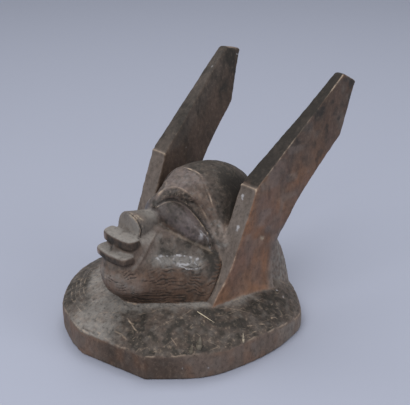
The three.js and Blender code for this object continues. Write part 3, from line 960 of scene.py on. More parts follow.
    def skin(self) -> bpy.types.Mesh:
        """One closed skin round all the parts, with the hollow cut out."""
        bm = bmesh.new()
        self.plate.build(bm)
        self.ear.build(bm, 1)
        self.ear.build(bm, -1)
        self.head.build(bm)
        self.nose.build(bm)
        for lip in self.lips:
            lip.build(bm)
        rough = new_object("rough", bm)
        bm = bmesh.new()
        self.plate.hollow(bm)
        ball = new_object("ball", bm)
        remesh = rough.modifiers.new("skin", "REMESH")
        remesh.mode = "VOXEL"
        remesh.voxel_size = VOXEL
        soften = rough.modifiers.new("soften", "SMOOTH")
        soften.factor = 0.5
        soften.iterations = 2
        cut = rough.modifiers.new("cut", "BOOLEAN")
        cut.operation = "DIFFERENCE"
        cut.object = ball
        cut.solver = "EXACT"
        mesh = applied(rough)
        for spare in (rough, ball):
            bpy.data.objects.remove(spare)
        return mesh

    def read(self, mesh: bpy.types.Mesh, edges: Edges) -> Surface:
        """Finds which part each point of the mesh belongs to, and how the surface curves there."""
        points = vectors(mesh.vertices, "co")
        normals = vectors(mesh.vertices, "normal")
        folded = mirrored(points)
        head = self.head
        depths = {
            "jaw": head.jaw(folded),
            "chin": head.oval(folded, head.chin),
            "mouth": head.oval(folded, head.mouth),
            "face": head.upper_face(folded) + head.sunk(folded),
            "eye": head.eye(folded),
            "cap": head.cap(folded),
            "nape": head.nape(folded),
            "plate": self.plate.distance(points),
            "ear": self.ear.distance(points),
            "nose": self.nose.distance(points),
            "lips": np.minimum(*(lip.distance(points) for lip in self.lips)),
        }
        nearest = np.min(np.stack(list(depths.values())), axis=0)
        shares = {
            name: np.exp(-((depth - nearest) / self.blend_width).clip(0, self.most_away))
            for name, depth in depths.items()
        }
        total = sum(shares.values())
        weights = {name: share / total for name, share in shares.items()}
        return Surface.measured(points, normals, weights, edges)

    def relief(self, surface: Surface) -> np.ndarray:
        """Height of the fine carving at each point, along the surface's own direction."""
        points, upward = surface.points, surface.normals[:, 2]
        coarse, fine, grain = LatticeNoise(3), LatticeNoise(5), LatticeNoise(9)
        under = rise(-0.5, -0.9, upward) * rise(40, 20, points[:, 2])
        worn = np.clip(surface.wide_curve - 0.6, 0, 2)
        marks = {
            "broad waves": coarse(points, 26, 26, 34),
            "small waves": fine.rough(points, 6),
            "grain": grain(points, 2.6, 2.6, 24) * (1 - np.abs(upward)),
            "worn edges": worn * (0.6 + fine(points, 9) + 0.5 * fine(points, 3)),
        }
        marks |= self.jaw_marks(surface) | self.plate_marks(surface)
        marks |= self.ear_marks(surface) | self.face_marks(surface)
        height = sum(RELIEF[name] * mark for name, mark in marks.items())
        return height * (1 - self.under_smoothness * under)

    def jaw_rows(self, points: np.ndarray) -> np.ndarray:
        """The gouge's wavy level rows, as 1 in a furrow and 0 between two."""
        wave = LatticeNoise(21)
        level = points[:, 2] + 3.8 * wave(points, 13, 13, 20) + 1.7 * wave(points, 5, 5, 8)
        beat = np.abs((level / self.furrow_spacing) % 1 - 0.5) * 2
        return rise(0.3, 1, beat) * np.clip(0.65 + 1.1 * wave(points, 7, 7, 4), 0, 1.2)

    def jaw_marks(self, surface: Surface) -> Masks:
        """Furrows on the jaw's wall and softer ones on the nape, and the jaw's swelling towards the ears."""
        points, jaw = surface.points, surface.on("jaw")
        wall = rise(0.6, 0.3, surface.normals[:, 2]) * rise(88, 76, points[:, 2])
        furrowed = np.maximum(surface.on("jaw", "chin") * wall, 0.6 * surface.on("nape"))
        return {
            "jaw swelling": bump_at(path_distance(surface.folded, self.jaw_swelling), 9) * jaw,
            "jaw furrows": self.jaw_rows(points) * furrowed,
        }

    def plate_marks(self, surface: Surface) -> Masks:
        """Hewn flats round the rim, arcs of the adze in front, and the rough end grain on top."""
        points, upward = surface.points, surface.normals[:, 2]
        rough = LatticeNoise(31)
        angle, share, reach = self.plate.polar(points)
        from_edge = (1 - share) * reach
        plate = surface.on("plate") * (points[:, 2] > 1)
        rim = plate * rise(0.5, 0.1, upward) * rise(0.9, 0.97, share)
        top = plate * rise(0.4, 0.7, upward)
        right = rise(-50, 10, points[:, 0] + 0.5 * (points[:, 1] + 90))
        grain = rough.rough(points, 7, 7, 7)
        chipped = bump_at(from_edge - 1, 1.6) * rise(0.35, 0.6, rough(points, 8, 8, 30))
        return {
            "rim flats": rim * scallops(angle * reach / self.flat_length + 0.7 * rough(points, 30, 30, 12)),
            "rim grain": rim * rough(points, 1.9, 1.9, 22),
            "rim waves": rim * rough(points, 5, 5, 16),
            "adze cuts": top * right * scallops(3.2 * rough(points, 16, 16, 60)),
            "end grain": top * grain,
            "right end grain": top * right * grain,
            "top grain": top * rough(points, 2.6) * (0.5 + right),
            "hatching": top * self.hatching(points),
            "plate chips": plate * chipped,
            "edge split": plate * surface.near(*self.edge_split, width=1),
        }

    def hatching(self, points: np.ndarray) -> np.ndarray:
        """Ridges between the parallel strokes of the blade beside the chin, along the rim."""
        rough = LatticeNoise(35)
        angle, share, reach = self.plate.polar(points)
        turn = np.degrees(angle)
        from_edge = (1 - share) * reach - 0.16 * (turn + 35) + 1.2 * rough(points, 15)
        there = rise(-56, -44, turn) * rise(-6, -14, turn)
        there *= np.clip(0.75 + rough(points, 7), 0.2, 1)
        there *= rise(3, 6, from_edge) * rise(26, 20, from_edge)
        return there * rise(0.55, 1, np.abs((from_edge / self.hatch_spacing) % 1 - 0.5) * 2)

    def ear_marks(self, surface: Surface) -> Masks:
        """Long shallow flats down the ears, a rounded heel, and small chips in their front edges."""
        points, ear = surface.points, surface.on("ear")
        rough = LatticeNoise(41)
        _, back, _, depth = self.ear.place(points)
        across = back * depth
        low = rise(self.ear.kink_height + 3, self.ear.kink_height - 2, points[:, 2])
        nearer = np.minimum(self.ear.edge_distance(points, 0), self.ear.edge_distance(points, 1))
        chips = ear * bump_at(nearer, 2) * np.clip(0.3 + 1.6 * rough(points, 5, 5, 5), 0, 1.4)
        front, step = ear * bump_at(across, 3), self.ear_step(points)
        return {
            "ear flats": ear * scallops(across / self.ear_flat + 0.8 * rough(points, 20, 20, 60)),
            "ear waves": ear * rough(points, 14, 14, 40),
            "ear chips": chips,
            "low ear chips": chips * low,
            "ear heel": ear * self.ear_heel(points),
            "below the step": front * bump_at(step + 1.5, 1.6),
            "above the step": front * bump_at(step - 1.4, 1.3),
        }

    def ear_heel(self, points: np.ndarray) -> np.ndarray:
        """Share of the ears' lower rear edge, which runs out into the nape."""
        _, back, _, depth = self.ear.place(points)
        return rise(14, 1, (1 - back) * depth) * rise(108, 84, points[:, 2])

    def ear_step(self, points: np.ndarray) -> np.ndarray:
        """How far a point is above the step in the ears' front."""
        lean_y, lean_z = self.step_lean
        return (points[:, 2] - self.ear.kink_height) * lean_z + (points[:, 1] - self.step_y) * lean_y

    def face_marks(self, surface: Surface) -> Masks:
        """The lines of lid, brow and hair, the folds beside the mouth and the crack in the nose."""
        folded = surface.folded
        lid, below = self.lid_line(folded)
        brow, shade = self.brow_line(folded)
        groove, ridge = self.hair_line(folded)
        along, up, _ = self.head.on_panel(folded)
        slanted = up + self.head.eyeball_slope * along
        face, hair = surface.on("face", "eye"), surface.on("cap", "face")
        cheek = bump_at(path_distance(folded, self.cheek_ridge), 1.9)
        fold = bump_at(path_distance(folded, self.nasolabial), 1.8)
        return {
            "lid line": face * lid,
            "lid edge": face * below,
            "brow edge": face * brow,
            "brow shade": face * shade,
            "rough brow shade": face * shade * LatticeNoise(45)(surface.points, 4, 2.5, 2.5),
            "eyelid": surface.on("eye") * bump_at(np.hypot((along - 6) / 24, (slanted + 7) / 7), 1),
            "hair ridge": hair * ridge,
            "hair groove": hair * groove,
            "cheek ridge": surface.on("jaw", "face", "eye") * cheek,
            "mouth fold": surface.on("jaw", "mouth", "chin") * fold,
            "nose crack": surface.on("nose", "face") * self.crack(surface, 1.1),
        }

    def crack(self, surface: Surface, width: float) -> np.ndarray:
        """The crack across the nose's end, which ends short of its far side."""
        return surface.near(*self.nose_crack, width=width) * (surface.points[:, 0] > self.crack_end)

    def arch(self, folded: np.ndarray, rows: np.ndarray) -> tuple[np.ndarray, np.ndarray]:
        """Distance above an arch on the eye's panel, and whether a point is beside it.

        Args:
            folded: Points moved to the +X side.
            rows: The arch, along and up the panel.

        Returns:
            The distance above the arch, and 1 beside it and 0 past its ends or off the panel.
        """
        along, up, off = self.head.on_panel(folded)
        away = up - np.interp(along, rows[:, 0], rows[:, 1])
        slant = np.interp(along, rows[:, 0], np.gradient(rows[:, 1], rows[:, 0]))
        first, last = rows[0, 0], rows[-1, 0]
        there = rise(first - 2, first + 1, along) * rise(last + 2, last - 4, along)
        return away / np.hypot(1, slant), there * rise(16, 12, np.abs(off))

    def lid_line(self, folded: np.ndarray) -> tuple[np.ndarray, np.ndarray]:
        """The dark line engraved over the eye, and the light edge below it."""
        away, there = self.arch(folded, spline(self.lid, 12))
        return bump_at(away, 0.8) * there, bump_at(away + 2.0, 0.8) * there

    def brow_line(self, folded: np.ndarray) -> tuple[np.ndarray, np.ndarray]:
        """The light edge of the brow, and the dark band under it."""
        away, there = self.arch(folded, spline(self.brow, 12))
        shade = rise(-0.2, -1.4, away) * rise(-9.5, -6, away)
        return bump_at(away - 0.6, 0.75) * there, shade * there

    def hair_line(self, folded: np.ndarray) -> tuple[np.ndarray, np.ndarray]:
        """The groove in front of the hairline, and the ridge along it."""
        away = path_distance(folded, self.hair_edge)
        ahead = path_distance(folded + np.array(self.groove_offset), self.hair_edge)
        return bump_at(ahead, 0.8), bump_at(away, 0.6)

    def finish(self, surface: Surface) -> Masks:
        """Shares of each tone at each point, from 0 to 1, for the old surface's own tones and for painted
        light and shade.
        """
        points = surface.points
        tones = Tones(len(points))
        worn = np.clip(0.7 + 0.9 * LatticeNoise(51)(points, 9), 0, 1.3) * (1 - 0.6 * surface.on("plate"))
        tones.add(rise(0.1, 0.3, surface.curve) * worn, wear=0.6)
        tones.add(rise(0.7, 1.5, surface.wide_curve) * worn, wear=0.2)
        # Darker in small creases, as dirt and painted shade, and in broad hollows, as painted shade
        tones.add(rise(-0.06, -0.25, surface.curve), grime=0.65)
        tones.add(rise(-0.4, -1.6, surface.wide_curve), grime=0.6)
        self.head_tones(surface, tones)
        self.ear_tones(surface, tones)
        self.plate_tones(surface, tones)
        uneven = np.clip(0.8 + 0.8 * LatticeNoise(55)(points, 3), 0.2, 1.2)
        for fleck, width in self.flecks:
            tones.add(surface.near(fleck, width=width), chalk=1)
        for stroke in self.strokes:
            mark = surface.near(*stroke.path, width=stroke.width) * uneven
            tones.add(mark, **{stroke.tone: stroke.strength})
        return {name: np.clip(value, 0, 1) for name, value in tones.shares.items()}

    def head_tones(self, surface: Surface, tones: Tones) -> None:
        """Dark hair, a grey upper face, a brown jaw and the light edges between them, with a painted
        highlight on the cheek and painted light and shade on nose, lips, mouth and grooves.
        """
        folded, points, normals = surface.folded, surface.points, surface.normals
        along, up, _ = self.head.on_panel(folded)
        slanted = up + self.head.eyeball_slope * along
        level, upward = points[:, 2], normals[:, 2]
        face, eye, cap, nape = (surface.on(name) for name in ("face", "eye", "cap", "nape"))
        nose, lips, mouth = (surface.on(name) for name in ("nose", "lips", "mouth"))
        jaw, panels, hair = surface.on("jaw", "chin"), face + eye, cap + face
        lid, below = self.lid_line(folded)
        brow, shade = self.brow_line(folded)
        groove, ridge = self.hair_line(folded)
        patch, fine = LatticeNoise(52), LatticeNoise(57)
        broken = np.clip(0.6 + 1.2 * patch(points, 7), 0, 1.2)
        chipped = 0.4 + 0.6 * broken
        ahead = rise(0.6, 0.85, -normals[:, 1])
        wall = rise(0.62, 0.35, upward) * rise(90, 78, level)
        chin = surface.near(*self.chin_patch, width=11)
        slab = lips * rise(0.5, 0, upward)
        far_end = rise(-9, -14, points[:, 0])
        beside_ear = rise(2, 20, points[:, 1]) * rise(14, 32, folded[:, 0])
        gloss_and_highlight = surface.near(*self.cheek_gloss_and_highlight, width=6)
        bridge = surface.near(*self.bridge_patch, width=6)
        skin = jaw * (1 - 0.6 * wall) + 0.7 * face + eye + 0.6 * cap + nape
        streaks = rise(0, 0.4, fine(points + 20, 2, 5, 9))
        tones.add(face, rust=0.2, dark=0.1, ash=0.1, shine=0.12, scratched=0.2)
        tones.add(cap, dark=0.65, scratched=0.2)
        tones.add(nape, rust=0.3, ash=0.5, scratched=0.2)
        tones.add(eye, dark=0.15, shine=0.6)
        tones.add(nose, ash=0.5)
        tones.add(jaw, shine=0.12)
        tones.add(lips, shine=0.12)
        tones.add(chin, rust=0.7, ash=0.75)
        # Glossy patch on the cheek, with a painted highlight in its lighter colour
        tones.add(gloss_and_highlight, shine=0.8, ash=0.8, scratched=0.9)
        tones.add(bridge, ash=0.7)
        tones.add(panels * lid, grime=1)
        tones.add(panels * below * chipped, wear=0.4)
        tones.add(panels * brow * chipped, wear=0.55)
        tones.add(panels * shade, grime=0.25, dark=0.4)
        tones.add(shade * bump_at(fine(points, 4, 2, 2), 0.12), wear=0.4)
        tones.add(hair * ridge * chipped, wear=0.9)
        tones.add(hair * ridge * (1 - broken), rust=0.5)
        # Painted shadow in the groove at the hairline
        tones.add(hair * groove, grime=0.5)
        # Dark patina and painted shade on the cap beside the ear
        tones.add(cap * beside_ear, dark=0.75, grime=0.9)
        crown = rise(142, 149, level) * rise(-0.2, 0.4, patch(points, 18, 4, 8))
        tones.add(cap * crown, ash=0.3)
        tones.add((jaw + panels) * bump_at(path_distance(folded, self.cheek_ridge), 2.8), wear=0.36)
        tones.add((jaw + mouth) * bump_at(path_distance(folded, self.nasolabial), 1.5), wear=0.3)
        tones.add(bump_at(path_distance(folded, self.jaw_end), 1), wear=0.4)
        # Dirt and painted shade in the jaw's furrows
        tones.add(jaw * self.jaw_rows(points) * wall * (1 - 0.6 * chin), grime=0.95)
        tones.add(jaw * wall, rust=0.6)
        tones.add(jaw * wall * (1 - 0.8 * chin), dark=0.5)
        tones.add(jaw * (1 - wall), dark=0.45)
        tones.add(jaw * (1 - wall) * rise(-0.1, 0.5, patch(points + 9, 7)), dark=0.5)
        tones.add(jaw * rise(0.3, 0.6, upward), ash=0.2)
        tones.add(chin * broken, wear=0.2)
        tones.add(eye * rise(-5, -12, slanted), rust=0.8)
        tones.add(eye * rise(-12, -5, slanted), plum=0.7)
        tones.add(eye * rise(0, -22, along), dark=0.55)
        tones.add(eye * rise(-5, 10, along), scratched=0.4)
        tones.add(eye * bump_at(slanted + 1, 6) * rise(-4, 10, along) * streaks, chalk=0.55)
        tones.add(face * rise(0.5, 0.8, upward), plum=0.4)
        tones.add(face * rise(0.6, 0.9, upward), ash=0.15)
        tones.add(nose * self.crack(surface, 1.5), grime=1)
        tones.add(nose * surface.near(*self.nose_bruise, width=3), rust=0.7)
        # Painted light on the nose's front faces and painted shade on its sides
        tones.add(nose * ahead, ash=0.3)
        tones.add(nose * (1 - ahead), dark=0.3)
        # Painted light on the lips' tops and painted shade on their fronts; the far ends are pale with wear
        tones.add(lips * rise(0.3, 0.8, upward), ash=1)
        tones.add(slab, rust=0.4)
        tones.add(slab * (1 - far_end), dark=0.95)
        tones.add(slab * far_end, chalk=0.4)
        # Painted light on the mouth's upward faces and painted shade under it
        tones.add(mouth * rise(0.2, 0.7, upward), ash=0.6)
        tones.add(mouth * rise(0.3, -0.2, upward), dark=0.7)
        tones.add(skin * rise(0.05, 0.5, fine(points + 60, 2.4)) * (1 - 0.5 * gloss_and_highlight), dark=0.45)
        tones.add(skin * rise(0.05, 0.5, fine(points + 80, 2.6)), ash=0.5)
        # Painted bright streaks in the cheek's highlight, and less dark there
        tones.add(gloss_and_highlight * rise(0.1, 0.5, fine(points, 2.4, 7, 1.1)), chalk=0.4)
        tones.fade("dark", 0.7 * np.maximum(gloss_and_highlight, bridge))
        tones.fade("grime", 0.6 * bridge)

    def ear_tones(self, surface: Surface, tones: Tones) -> None:
        """Reddish brown sides, nearly black front edges above the step, and a light line beside them."""
        points, ear = surface.points, surface.on("ear")
        level, side = points[:, 2], np.sign(points[:, 0])
        near, far = ear * (side > 0), ear * (side < 0)
        _, back, _, depth = self.ear.place(points)
        patch = LatticeNoise(53)
        outwards = surface.normals[:, 0] * side
        outer, inner = ear * rise(0.4, 0.8, outwards), ear * rise(-0.4, -0.8, outwards)
        front = rise(10, 3, back * depth) * rise(0.75, 0.5, np.abs(outwards))
        above = rise(self.ear.kink_height - 2, self.ear.kink_height + 3, level)
        broken = np.clip(0.6 + 1.3 * patch(points, 6), 0, 1.1)
        outer_edge = bump_at(self.ear.edge_distance(points, 1), 0.7)
        inner_edge = bump_at(self.ear.edge_distance(points, 0), 1.2) * broken
        step = self.ear_step(points)
        low = rise(110, 50, level)
        heel = self.ear_heel(points)
        tones.add(outer, rust=0.8, shine=0.3)
        tones.add(inner, rust=0.35, dark=0.6)
        tones.add(near * outer_edge * above, wear=1.4, rust=0.4)
        tones.add(near * outer_edge * (1 - above), rust=0.9)
        tones.add(near * outer_edge * (1 - above) * broken, wear=0.9)
        tones.add(ear * inner_edge * (1 - above), wear=0.45)
        tones.add(far * inner_edge * above, wear=0.15)
        tones.add(ear * front * bump_at(step + 0.8, 1.1), wear=0.5)
        tones.add(near * front * bump_at(step - 4, 4) * rise(-0.1, 0.3, patch(points, 5)), rust=0.6)
        tones.add(outer * low, rust=0.35, wear=0.16)
        tones.add(outer * rise(60, 200, level), rust=-0.35)
        tones.add(outer * patch(points + 11, 12, 9, 22), rust=0.3)
        tones.add(outer * (1 - 0.7 * low) * rise(-0.05, 0.45, patch(points + 70, 8, 8, 9)), ash=0.32)
        tones.add(outer * rise(0.05, 0.4, patch(points + 25, 5, 5, 6)), dark=0.3)
        tones.add(outer * rise(-0.2, 0.6, patch(points + 40, 16, 14, 24)), plum=0.3)
        tones.add(outer * rise(110, 210, level), dark=0.55)
        tones.add(inner * rise(150, 210, level), dark=0.15)
        tones.add(ear * bump_at((1 - back) * depth, 5) * rise(-0.2, 0.5, patch(points, 14)), rust=0.5)
        tones.add(ear * rise(227, 232, level), rust=0.7)
        tones.add(outer * heel, ash=0.6)
        tones.add(near * front * above, dark=1)
        tones.add(far * front * above, dark=0.75)
        tones.add(near * front * above * (1 - outer_edge), grime=0.6)
        tones.add(ear * front * (1 - above), ash=0.25)
        tones.add(far * above * bump_at(back * depth - 10, 14), ash=0.35)
        tones.fade("rust", 0.8 * ear * heel)

    def plate_tones(self, surface: Surface, tones: Tones) -> None:
        """Grey-green end grain on top, dust round the head's foot, and a brown rim with a light edge, with
        painted light and shade on the top and the rim.
        """
        points, upward = surface.points, surface.normals[:, 2]
        across, along, level = points.T
        angle, share, reach = self.plate.polar(points)
        turn, from_edge = np.degrees(angle), (1 - share) * reach
        patch = LatticeNoise(54)
        plate = surface.on("plate")
        rim, top = plate * rise(0.5, 0.1, upward), plate * rise(0.4, 0.8, upward)
        middle = rise(0, 12, turn) * rise(50, 38, turn)
        left = rise(34, -6, across + 0.4 * (along + 100))
        foot = np.abs(self.head.distance(points))
        dust = bump_at(foot, 8) * rise(95, 60, across + 0.3 * along)
        hatched = rise(-8, -22, turn) * rise(30, 20, from_edge)
        painted_front_light = rise(16, 10, from_edge) * rise(12, 4, turn) * rise(-12, -4, turn)
        clean = (1 - dust) ** 2
        hatching = self.hatching(points)
        edge = bump_at(from_edge - 0.9, 0.5) * rise(12, 14, level)
        tones.add(rim, rust=0.22, dark=0.15, scratched=0.2)
        tones.add(rim * rise(-0.1, 0.6, patch(points, 9, 9, 14)), rust=0.45)
        tones.add(rim * rise(0, 0.5, patch(points + 60, 7, 7, 7)), ash=0.15)
        # Painted light on the rim's sides and painted shade on its middle
        tones.add(rim * (1 - middle), ash=0.2)
        tones.add(rim * middle, dark=0.4)
        tones.add(rim * rise(88, 97, turn) * rise(128, 114, turn), ash=0.35, wear=0.22)
        tones.add(top, ash=0.15, scratched=0.8)
        # Lighter at the left and in a band at the front, darker towards the right: partly the wood's own
        # tone, partly painted light and shade
        tones.add(top * np.clip(left * (1 - 0.7 * hatched) + 1.2 * painted_front_light, 0, 1), ash=0.85)
        tones.add(top * dust, ash=1.3)
        tones.add(top * patch(points, 4), ash=0.5)
        tones.add(top * (1 - left) * clean, dark=0.58)
        tones.add(top * rise(-0.4, 0.6, patch(points, 5)) * (1 - 0.6 * left) * clean, dark=0.5)
        tones.add(top * hatched, dark=0.65)
        tones.add(top * hatching, wear=0.45, ash=0.8)
        tones.add(top * rise(0.1, 0.5, patch(points + 30, 16)), rust=0.15)
        tones.add(plate * bump_at(foot - 1, 1) * np.clip(0.5 + patch(points, 11), 0, 1), wear=0.5)
        tones.add(plate * edge * np.clip(0.25 + 0.9 * patch(points, 8), 0.1, 0.5), wear=1)
        tones.fade("grime", 0.7 * dust * plate)

    def build(self) -> bpy.types.Object:
        """Makes the finished carving in metres, with its tones stored as attributes."""
        mesh = self.skin()
        log.info("skin has %d points", len(mesh.vertices))
        edges = Edges(mesh)
        surface = self.read(mesh, edges)
        height = self.relief(surface)
        moved = surface.points + surface.normals * height[:, None]
        level = surface.points[:, 2]
        moved[:, 2] = np.where(level < self.flat_foot, level, moved[:, 2])
        mesh.vertices.foreach_set("co", moved.ravel())
        mesh.update()
        carved = Surface.measured(moved, vectors(mesh.vertices, "normal"), surface.weights, edges)
        for name, values in self.finish(carved).items():
            mesh.attributes.new(name, "FLOAT", "POINT").data.foreach_set("value", values)
        carving = bpy.data.objects.new("headdress_carving", mesh)
        bpy.context.scene.collection.objects.link(carving)
        triangles = sum(len(face.vertices) - 2 for face in mesh.polygons)
        thin = carving.modifiers.new("thin", "DECIMATE")
        thin.ratio = min(1, MOST_TRIANGLES / triangles)
        carving.data = applied(carving)
        carving.modifiers.clear()
        self.add_splinters(carving)
        carving.data.transform(Matrix.Scale(METRES, 4))
        carving.data.polygons.foreach_set("use_smooth", [True] * len(carving.data.polygons))
        return carving

    def add_splinters(self, carving: bpy.types.Object) -> None:
        """Adds the lifted slivers to the finished mesh."""
        bm = bmesh.new()
        layer, ash, dark = (bm.verts.layers.float.new(name) for name in ("straw", "ash", "dark"))
        for splinter in self.splinters:
            splinter.build(bm)
            for vert in bm.verts:
                if not vert.tag:
                    vert[layer] = splinter.bare
                    vert[ash] = vert[dark] = 1 - splinter.bare
                vert.tag = True
        extra = bpy.data.meshes.new("slivers")
        bm.to_mesh(extra)
        bm.free()
        whole = bmesh.new()
        whole.from_mesh(carving.data)
        whole.from_mesh(extra)
        whole.to_mesh(carving.data)
        whole.free()


def vectors(items: bpy.types.bpy_prop_collection, name: str) -> np.ndarray:
    """One vector property of all of a mesh's items, as rows."""
    values = np.empty(len(items) * 3)
    items.foreach_get(name, values)
    return values.reshape(-1, 3)


def new_object(name: str, bm: bmesh.types.BMesh) -> bpy.types.Object:
    """Puts a bmesh in the scene as an object, and frees it."""
    mesh = bpy.data.meshes.new(name)
    bm.to_mesh(mesh)
    bm.free()
    made = bpy.data.objects.new(name, mesh)
    bpy.context.scene.collection.objects.link(made)
    return made


def applied(source: bpy.types.Object) -> bpy.types.Mesh:
    """The object's mesh with its modifiers applied."""
    ready = source.evaluated_get(bpy.context.evaluated_depsgraph_get())
    return bpy.data.meshes.new_from_object(ready)


class Wire:
    """A shader socket that takes part in sums."""

    def __init__(self, recipe: "Recipe", socket: bpy.types.NodeSocket) -> None:
        """Keeps the socket and the recipe that it belongs to."""
        self.recipe = recipe
        self.socket = socket

    def maths(self, operation: str, *others: "Wire | float") -> "Wire":
        """A Math node with this wire first."""
        return self.recipe.node("ShaderNodeMath", {"operation": operation}, dict(enumerate((self, *others))))

    def __add__(self, other: "Wire | float") -> "Wire":
        """Sum."""
        return self.maths("ADD", other)

    __radd__ = __add__

    def __mul__(self, other: "Wire | float") -> "Wire":
        """Product."""
        return self.maths("MULTIPLY", other)

    __rmul__ = __mul__

    def __sub__(self, other: "Wire | float") -> "Wire":
        """Difference."""
        return self.maths("SUBTRACT", other)

    def __rsub__(self, other: float) -> "Wire":
        """Difference from a number."""
        return self.maths("MULTIPLY_ADD", -1.0, other)

    def step(self, low: float, high: float) -> "Wire":
        """Smooth rise from 0 at low to 1 at high, or the fall where low is the higher one."""
        ends = (low, high, 0.0, 1.0) if low < high else (high, low, 1.0, 0.0)
        inputs = dict(zip(("From Min", "From Max", "To Min", "To Max"), ends), Value=self)
        return self.recipe.node("ShaderNodeMapRange", {"interpolation_type": "SMOOTHSTEP"}, inputs)


class Recipe:
    """A material's node tree."""

    def __init__(self, name: str) -> None:
        """Starts a material with nothing but its output."""
        self.material = bpy.data.materials.new(name)
        self.material.use_nodes = True
        self.tree = self.material.node_tree
        self.tree.nodes.clear()

    def node(
        self,
        kind: str,
        settings: dict[str, object] | None = None,
        inputs: dict[int | str, object] | None = None,
        output: int | str = 0,
    ) -> Wire:
        """Adds a node.

        Args:
            kind: The node's type.
            settings: Its own properties, set first.
            inputs: Values or wires for its sockets.
            output: The socket that is returned.

        Returns:
            A wire from that socket.
        """
        made = self.tree.nodes.new(kind)
        for name, value in (settings or {}).items():
            setattr(made, name, value)
        for key, value in (inputs or {}).items():
            if isinstance(value, Wire):
                self.tree.links.new(value.socket, made.inputs[key])
            else:
                made.inputs[key].default_value = value
        return Wire(self, made.outputs[output] if made.outputs else None)

    def attribute(self, name: str) -> Wire:
        """A number stored at the mesh's points."""
        return self.node("ShaderNodeAttribute", {"attribute_name": name}, output="Fac")

    def place(self, stretch: Place) -> Wire:
        """Place on the object in metres, stretched along its axes."""
        plain = self.node("ShaderNodeTexCoord", output="Object")
        return self.node("ShaderNodeMapping", inputs={"Vector": plain, "Scale": stretch})

    def noise(self, scale: float, stretch: Place, detail: float, roughness: float = 0.55) -> Wire:
        """Noise from 0 to 1."""
        inputs = {"Vector": self.place(stretch), "Scale": scale, "Detail": detail, "Roughness": roughness}
        return self.node("ShaderNodeTexNoise", inputs=inputs, output="Fac")

    def mix(self, share: Wire, first: Wire | Row, second: Wire | Row) -> Wire:
        """Colours mixed by a share."""
        settings = {"data_type": "RGBA", "clamp_factor": True}
        return self.node("ShaderNodeMix", settings, {0: share, 6: first, 7: second}, output=2)


def paint(red: int, green: int, blue: int) -> Row:
    """A colour for a shader from its screen values."""
    parts = (value / 255 for value in (red, green, blue))
    return (*(part / 12.92 if part <= 0.04045 else ((part + 0.055) / 1.055) ** 2.4 for part in parts), 1.0)


@dataclass(frozen=True)
class OldWood:
    """Weathered hardwood under a worn dark stain, with grain that runs upwards."""

    stain: Row = paint(104, 90, 82)
    stain_deep: Row = paint(86, 74, 66)
    rust: Row = paint(126, 90, 67)
    ash: Row = paint(127, 122, 117)
    plum: Row = paint(98, 87, 88)
    dark: Row = paint(47, 42, 37)
    worn: Row = paint(176, 156, 136)
    # The dark of grime, also used for painted shade
    grime: Row = paint(34, 29, 25)
    chalk: Row = paint(172, 170, 172)
    straw: Row = paint(205, 190, 165)
    grain_scale: float = 330
    grain_stretch: Place = (1, 1, 0.09)

    def material(self) -> bpy.types.Material:
        """Builds the finish from noise and the tones stored in the mesh."""
        recipe = Recipe("old_wood")
        grain = recipe.noise(self.grain_scale, self.grain_stretch, 4, 0.6)
        cloud = recipe.noise(38, (1, 1, 0.6), 4, 0.6)
        mottle = recipe.noise(170, (1, 1, 0.5), 5, 0.65)
        speck = recipe.noise(620, (1, 1, 0.6), 2, 0.6)
        fleck = recipe.noise(300, (1, 1, 0.8), 4, 0.7)
        scratched = recipe.attribute("scratched")
        colour = recipe.mix(mottle.step(0.35, 0.65), self.stain_deep, self.stain)
        for name in ("rust", "ash", "plum", "dark"):
            colour = recipe.mix(self.patchy(recipe, name, cloud, mottle), colour, getattr(self, name))
        colour = recipe.mix(grain.step(0.5, 0.75) * 0.12, colour, self.grime)
        colour = recipe.mix(fleck.step(0.5, 0.68) * (0.36 + 0.25 * scratched), colour, self.grime)
        colour = recipe.mix(fleck.step(0.47, 0.3) * (0.1 + 0.18 * scratched), colour, self.worn)
        scratch = self.scratches(recipe)
        wear = recipe.attribute("wear")
        colour = recipe.mix((wear + 0.4 * (mottle - 0.5)).step(0.1, 0.85) * 0.85, colour, self.worn)
        # Darkens with grime and with painted shade, from the stored tone
        grime = recipe.attribute("grime")
        colour = recipe.mix((grime + 0.4 * (mottle - 0.5)).step(0.08, 0.9) * 0.8, colour, self.grime)
        colour = recipe.mix(speck.step(0.7, 0.8) * (0.08 + 0.25 * scratched), colour, self.worn)
        colour = recipe.mix(scratch * 0.35, colour, self.worn)
        chalk = (recipe.attribute("chalk") + 0.3 * (fleck - 0.5)).step(0.15, 0.8)
        colour = recipe.mix(chalk * 0.85, colour, self.chalk)
        colour = recipe.mix(recipe.attribute("straw"), colour, self.straw)
        shine = recipe.attribute("shine")
        roughness = 0.68 + 0.22 * (mottle - 0.5) + 0.12 * grime - 0.22 * shine
        relief = 0.22 * grain + 0.45 * mottle + 0.5 * fleck + 0.25 * speck + 0.25 * scratch
        bump = recipe.node("ShaderNodeBump", inputs={"Height": relief, "Distance": METRES, "Strength": 0.8})
        shader = recipe.node(
            "ShaderNodeBsdfPrincipled",
            inputs={
                "Base Color": colour, "Roughness": roughness, "Normal": bump, "Specular IOR Level": 0.3,
                "Coat Weight": shine * 0.35, "Coat Roughness": 0.3,
            },
        )
        recipe.node("ShaderNodeOutputMaterial", inputs={"Surface": shader})
        return recipe.material

    @staticmethod
    def patchy(recipe: Recipe, name: str, wide: Wire, narrow: Wire) -> Wire:
        """A stored tone whose strength varies with noise."""
        return recipe.attribute(name) * (1.0 + 2.2 * (wide - 0.5) + 1.4 * (narrow - 0.5))

    @staticmethod
    def scratches(recipe: Recipe) -> Wire:
        """Thin light fibres and scratches, as short pieces of the level lines of noise."""
        levels = (recipe.noise(17, (1, 1.4, 1), 0) * 7, recipe.noise(21, (1.7, 0.6, 1), 0) * 6)
        first, second = ((level.maths("FRACT") - 0.5).maths("ABSOLUTE").step(0.035, 0.01) for level in levels)
        pieces = recipe.noise(120, (1, 1, 1), 1).step(0.5, 0.6)
        return first.maths("MAXIMUM", second) * pieces * recipe.attribute("scratched")


